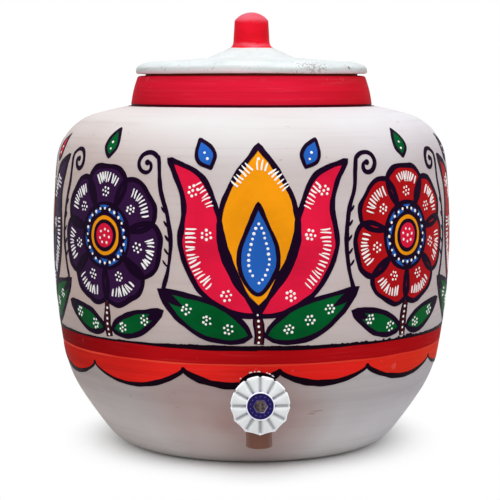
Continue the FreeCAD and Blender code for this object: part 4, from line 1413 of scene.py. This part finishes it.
def make_disc():
    """The purple disc: a soft edge and a raised hexagon round its hole, with a ring of plain pips, and
    painted highlight on the hexagon's rim and the pips.
    """
    low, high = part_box("knob_disc")
    face, back = -low.y / MM, -high.y / MM
    sides = 72
    widths = ((7.4, back), (7.4, face - 0.06), (7.6, face), (8.0, face), (8.4, face - 0.26))
    radii = ((5.5, face - 0.28), (DISC_RADIUS - 1.0, face - 0.28), (DISC_RADIUS - 0.4, face - 0.14),
             (DISC_RADIUS - 0.1, face - 0.14), (DISC_RADIUS, face - 0.4), (DISC_RADIUS, back))
    verts = []
    for width, station in widths:
        for k in range(sides):
            a = TAU * k / sides
            radius = 0.5 * width / math.cos(a % (math.pi / 3) - math.pi / 6)
            verts.append(tap_point(radius * math.cos(a), radius * math.sin(a), station))
    for radius, station in radii:
        verts += tap_highlight(radius, station, sides)
    rows = len(widths) + len(radii)
    # painted highlight: a lighter purple on the hexagon's rim, lightest on its lower right
    plain, edge, lit_edge = range(3)
    hexagon_edge = [edge] * (sides * 3 // 4) + [lit_edge] * (sides // 4)
    indices = [plain] * sides + 2 * hexagon_edge + [plain] * sides * (rows - 3)
    finishes = [mat[name] for name in ("tap_purple", "purple_highlight", "hex_edge_highlight")]
    disc_plate = solid("disc_plate", verts, skin([sides] * rows, closed=True), finishes, indices, sharp=40.0)
    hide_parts("knob_disc")
    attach(disc_plate, "knob")
    make_pips(face)


def make_pips(face, count=14, reach=6.2, radius=0.42, sides=8):
    """Plain raised pips round the disc, in a lighter purple as painted highlight."""
    rows = ((1.0, face - 0.5), (1.0, face - 0.2), (0.6, face - 0.1))
    parts = ([], [])
    for p in range(count):
        a = TAU * (p + 0.5) / count
        verts = []
        for share, station in rows:
            verts += tap_highlight(share * radius, station, sides, reach * math.cos(a), reach * math.sin(a))
        gather(parts, verts, skin([sides] * len(rows)))
    pips = solid("disc_pips", *parts, [mat["purple_highlight"]], sharp=50.0)
    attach(pips, "knob")


def make_tap():
    """The knob and its disc, and finishes for the tap's pieces that keep their own shapes."""
    make_knob()
    make_disc()
    paint_seat_edge()
    finishes = {
        "tap_brown": ("tap_body", "bonnet"), "tap_dark": ("spindle",), "tap_white": ("lock_nut", "jumper"),
        "rubber": ("outer_gasket", "inner_gasket", "bonnet_seal", "valve_washer", "stem_ring"),
        "steel": ("knob_clip",), "brass": ("washer_nut",)}
    for finish, nodes in finishes.items():
        for node in nodes:
            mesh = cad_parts[node].data
            mesh.materials.clear()
            mesh.materials.append(mat[finish])


# --- the studio ---

CAMERA_AZIMUTH = -1.9
CAMERA_DISTANCE = 1156.8
CAMERA_HEIGHT = 252.8
CAMERA_PITCH = 5.90
CAMERA_YAW = 0.05
LENS = 117.8
SENSOR_WIDTH = 36.0
AMBIENT = 0.42
FLOOR_REACH = 6.0
SHADOW_INNER = 0.085
SHADOW_OUTER = 0.16
SHADOW_SQUEEZE = 1.15
FLOOR_BOUNCE = 0.74


def make_camera():
    data = bpy.data.cameras.new("camera")
    data.lens = LENS
    data.sensor_width = SENSOR_WIDTH
    data.clip_end = 50.0
    camera = link_object("camera", data)
    a = math.radians(CAMERA_AZIMUTH)
    camera.location = round_axis(CAMERA_DISTANCE, a, CAMERA_HEIGHT)
    camera.rotation_euler = (math.radians(90.0 - CAMERA_PITCH), 0.0, a + math.radians(CAMERA_YAW))
    bpy.context.scene.camera = camera


def area_light(name, location, target, size, power, colour):
    data = bpy.data.lights.new(name, "AREA")
    data.shape = "RECTANGLE"
    data.size, data.size_y = size
    data.energy = power
    data.color = colour
    light = link_object(name, data)
    light.location = location
    light.rotation_euler = (Vector(target) - Vector(location)).to_track_quat("-Z", "Y").to_euler()


def make_studio():
    scene = bpy.context.scene
    scene.view_settings.view_transform = "Standard"
    scene.world = bpy.data.worlds.new("studio")
    n = Nodes(scene.world, "ShaderNodeOutputWorld")
    ambient = n.node("ShaderNodeBackground", {"Color": grey(1.0), "Strength": AMBIENT})
    shown = n.node("ShaderNodeBackground", {"Color": grey(1.0), "Strength": 1.0})
    n.show(n.node("ShaderNodeMixShader", {0: n.seen_directly(), 1: ambient, 2: shown}))

    area_light("top", (0.0, -0.35, 1.3), (0.0, 0.0, 0.15), (1.3, 1.1), 16.5, (0.95, 1.0, 1.04))
    area_light("front", (0.0, -1.6, 0.85), (0.0, 0.0, 0.14), (1.0, 0.7), 5.2, (1.02, 1.0, 0.98))

    corners = [Vector((x, y, 0.0)) * FLOOR_REACH for x, y in ((-1, -1), (1, -1), (1, 1), (-1, 1))]
    floor = new_object("floor", corners, [(0, 1, 2, 3)], [floor_paper()])


def floor_paper():
    """Pale paper that shows the shadow round the foot and runs out to plain white."""
    n = Surface("floor_paper")
    paper = n.mix(n.noise(4.0, 2.0), grey(0.92), grey(0.94))
    n.paint(n.mix(n.seen_directly(), grey(FLOOR_BOUNCE), paper), 0.95)
    away = n.distance((0.0, 0.0, 0.0), (SHADOW_SQUEEZE, 1.0, 1.0))
    fade = n.remap(away, SHADOW_INNER, SHADOW_OUTER, interpolation_type="SMOOTHSTEP")
    white = n.node("ShaderNodeEmission", {})
    share = n.times(fade, n.seen_directly())
    n.show(n.node("ShaderNodeMixShader", {0: share, 1: n.shader.outputs[0], 2: white}))
    return n.material


# --- everything, in the order of the random draws ---

make_camera()
make_studio()
make_pot()
make_lid()
paint_band()
paint_collar_line()
paint_garden()
paint_tap_seat()
paint_scuffs()
finish_coats()
make_tap()
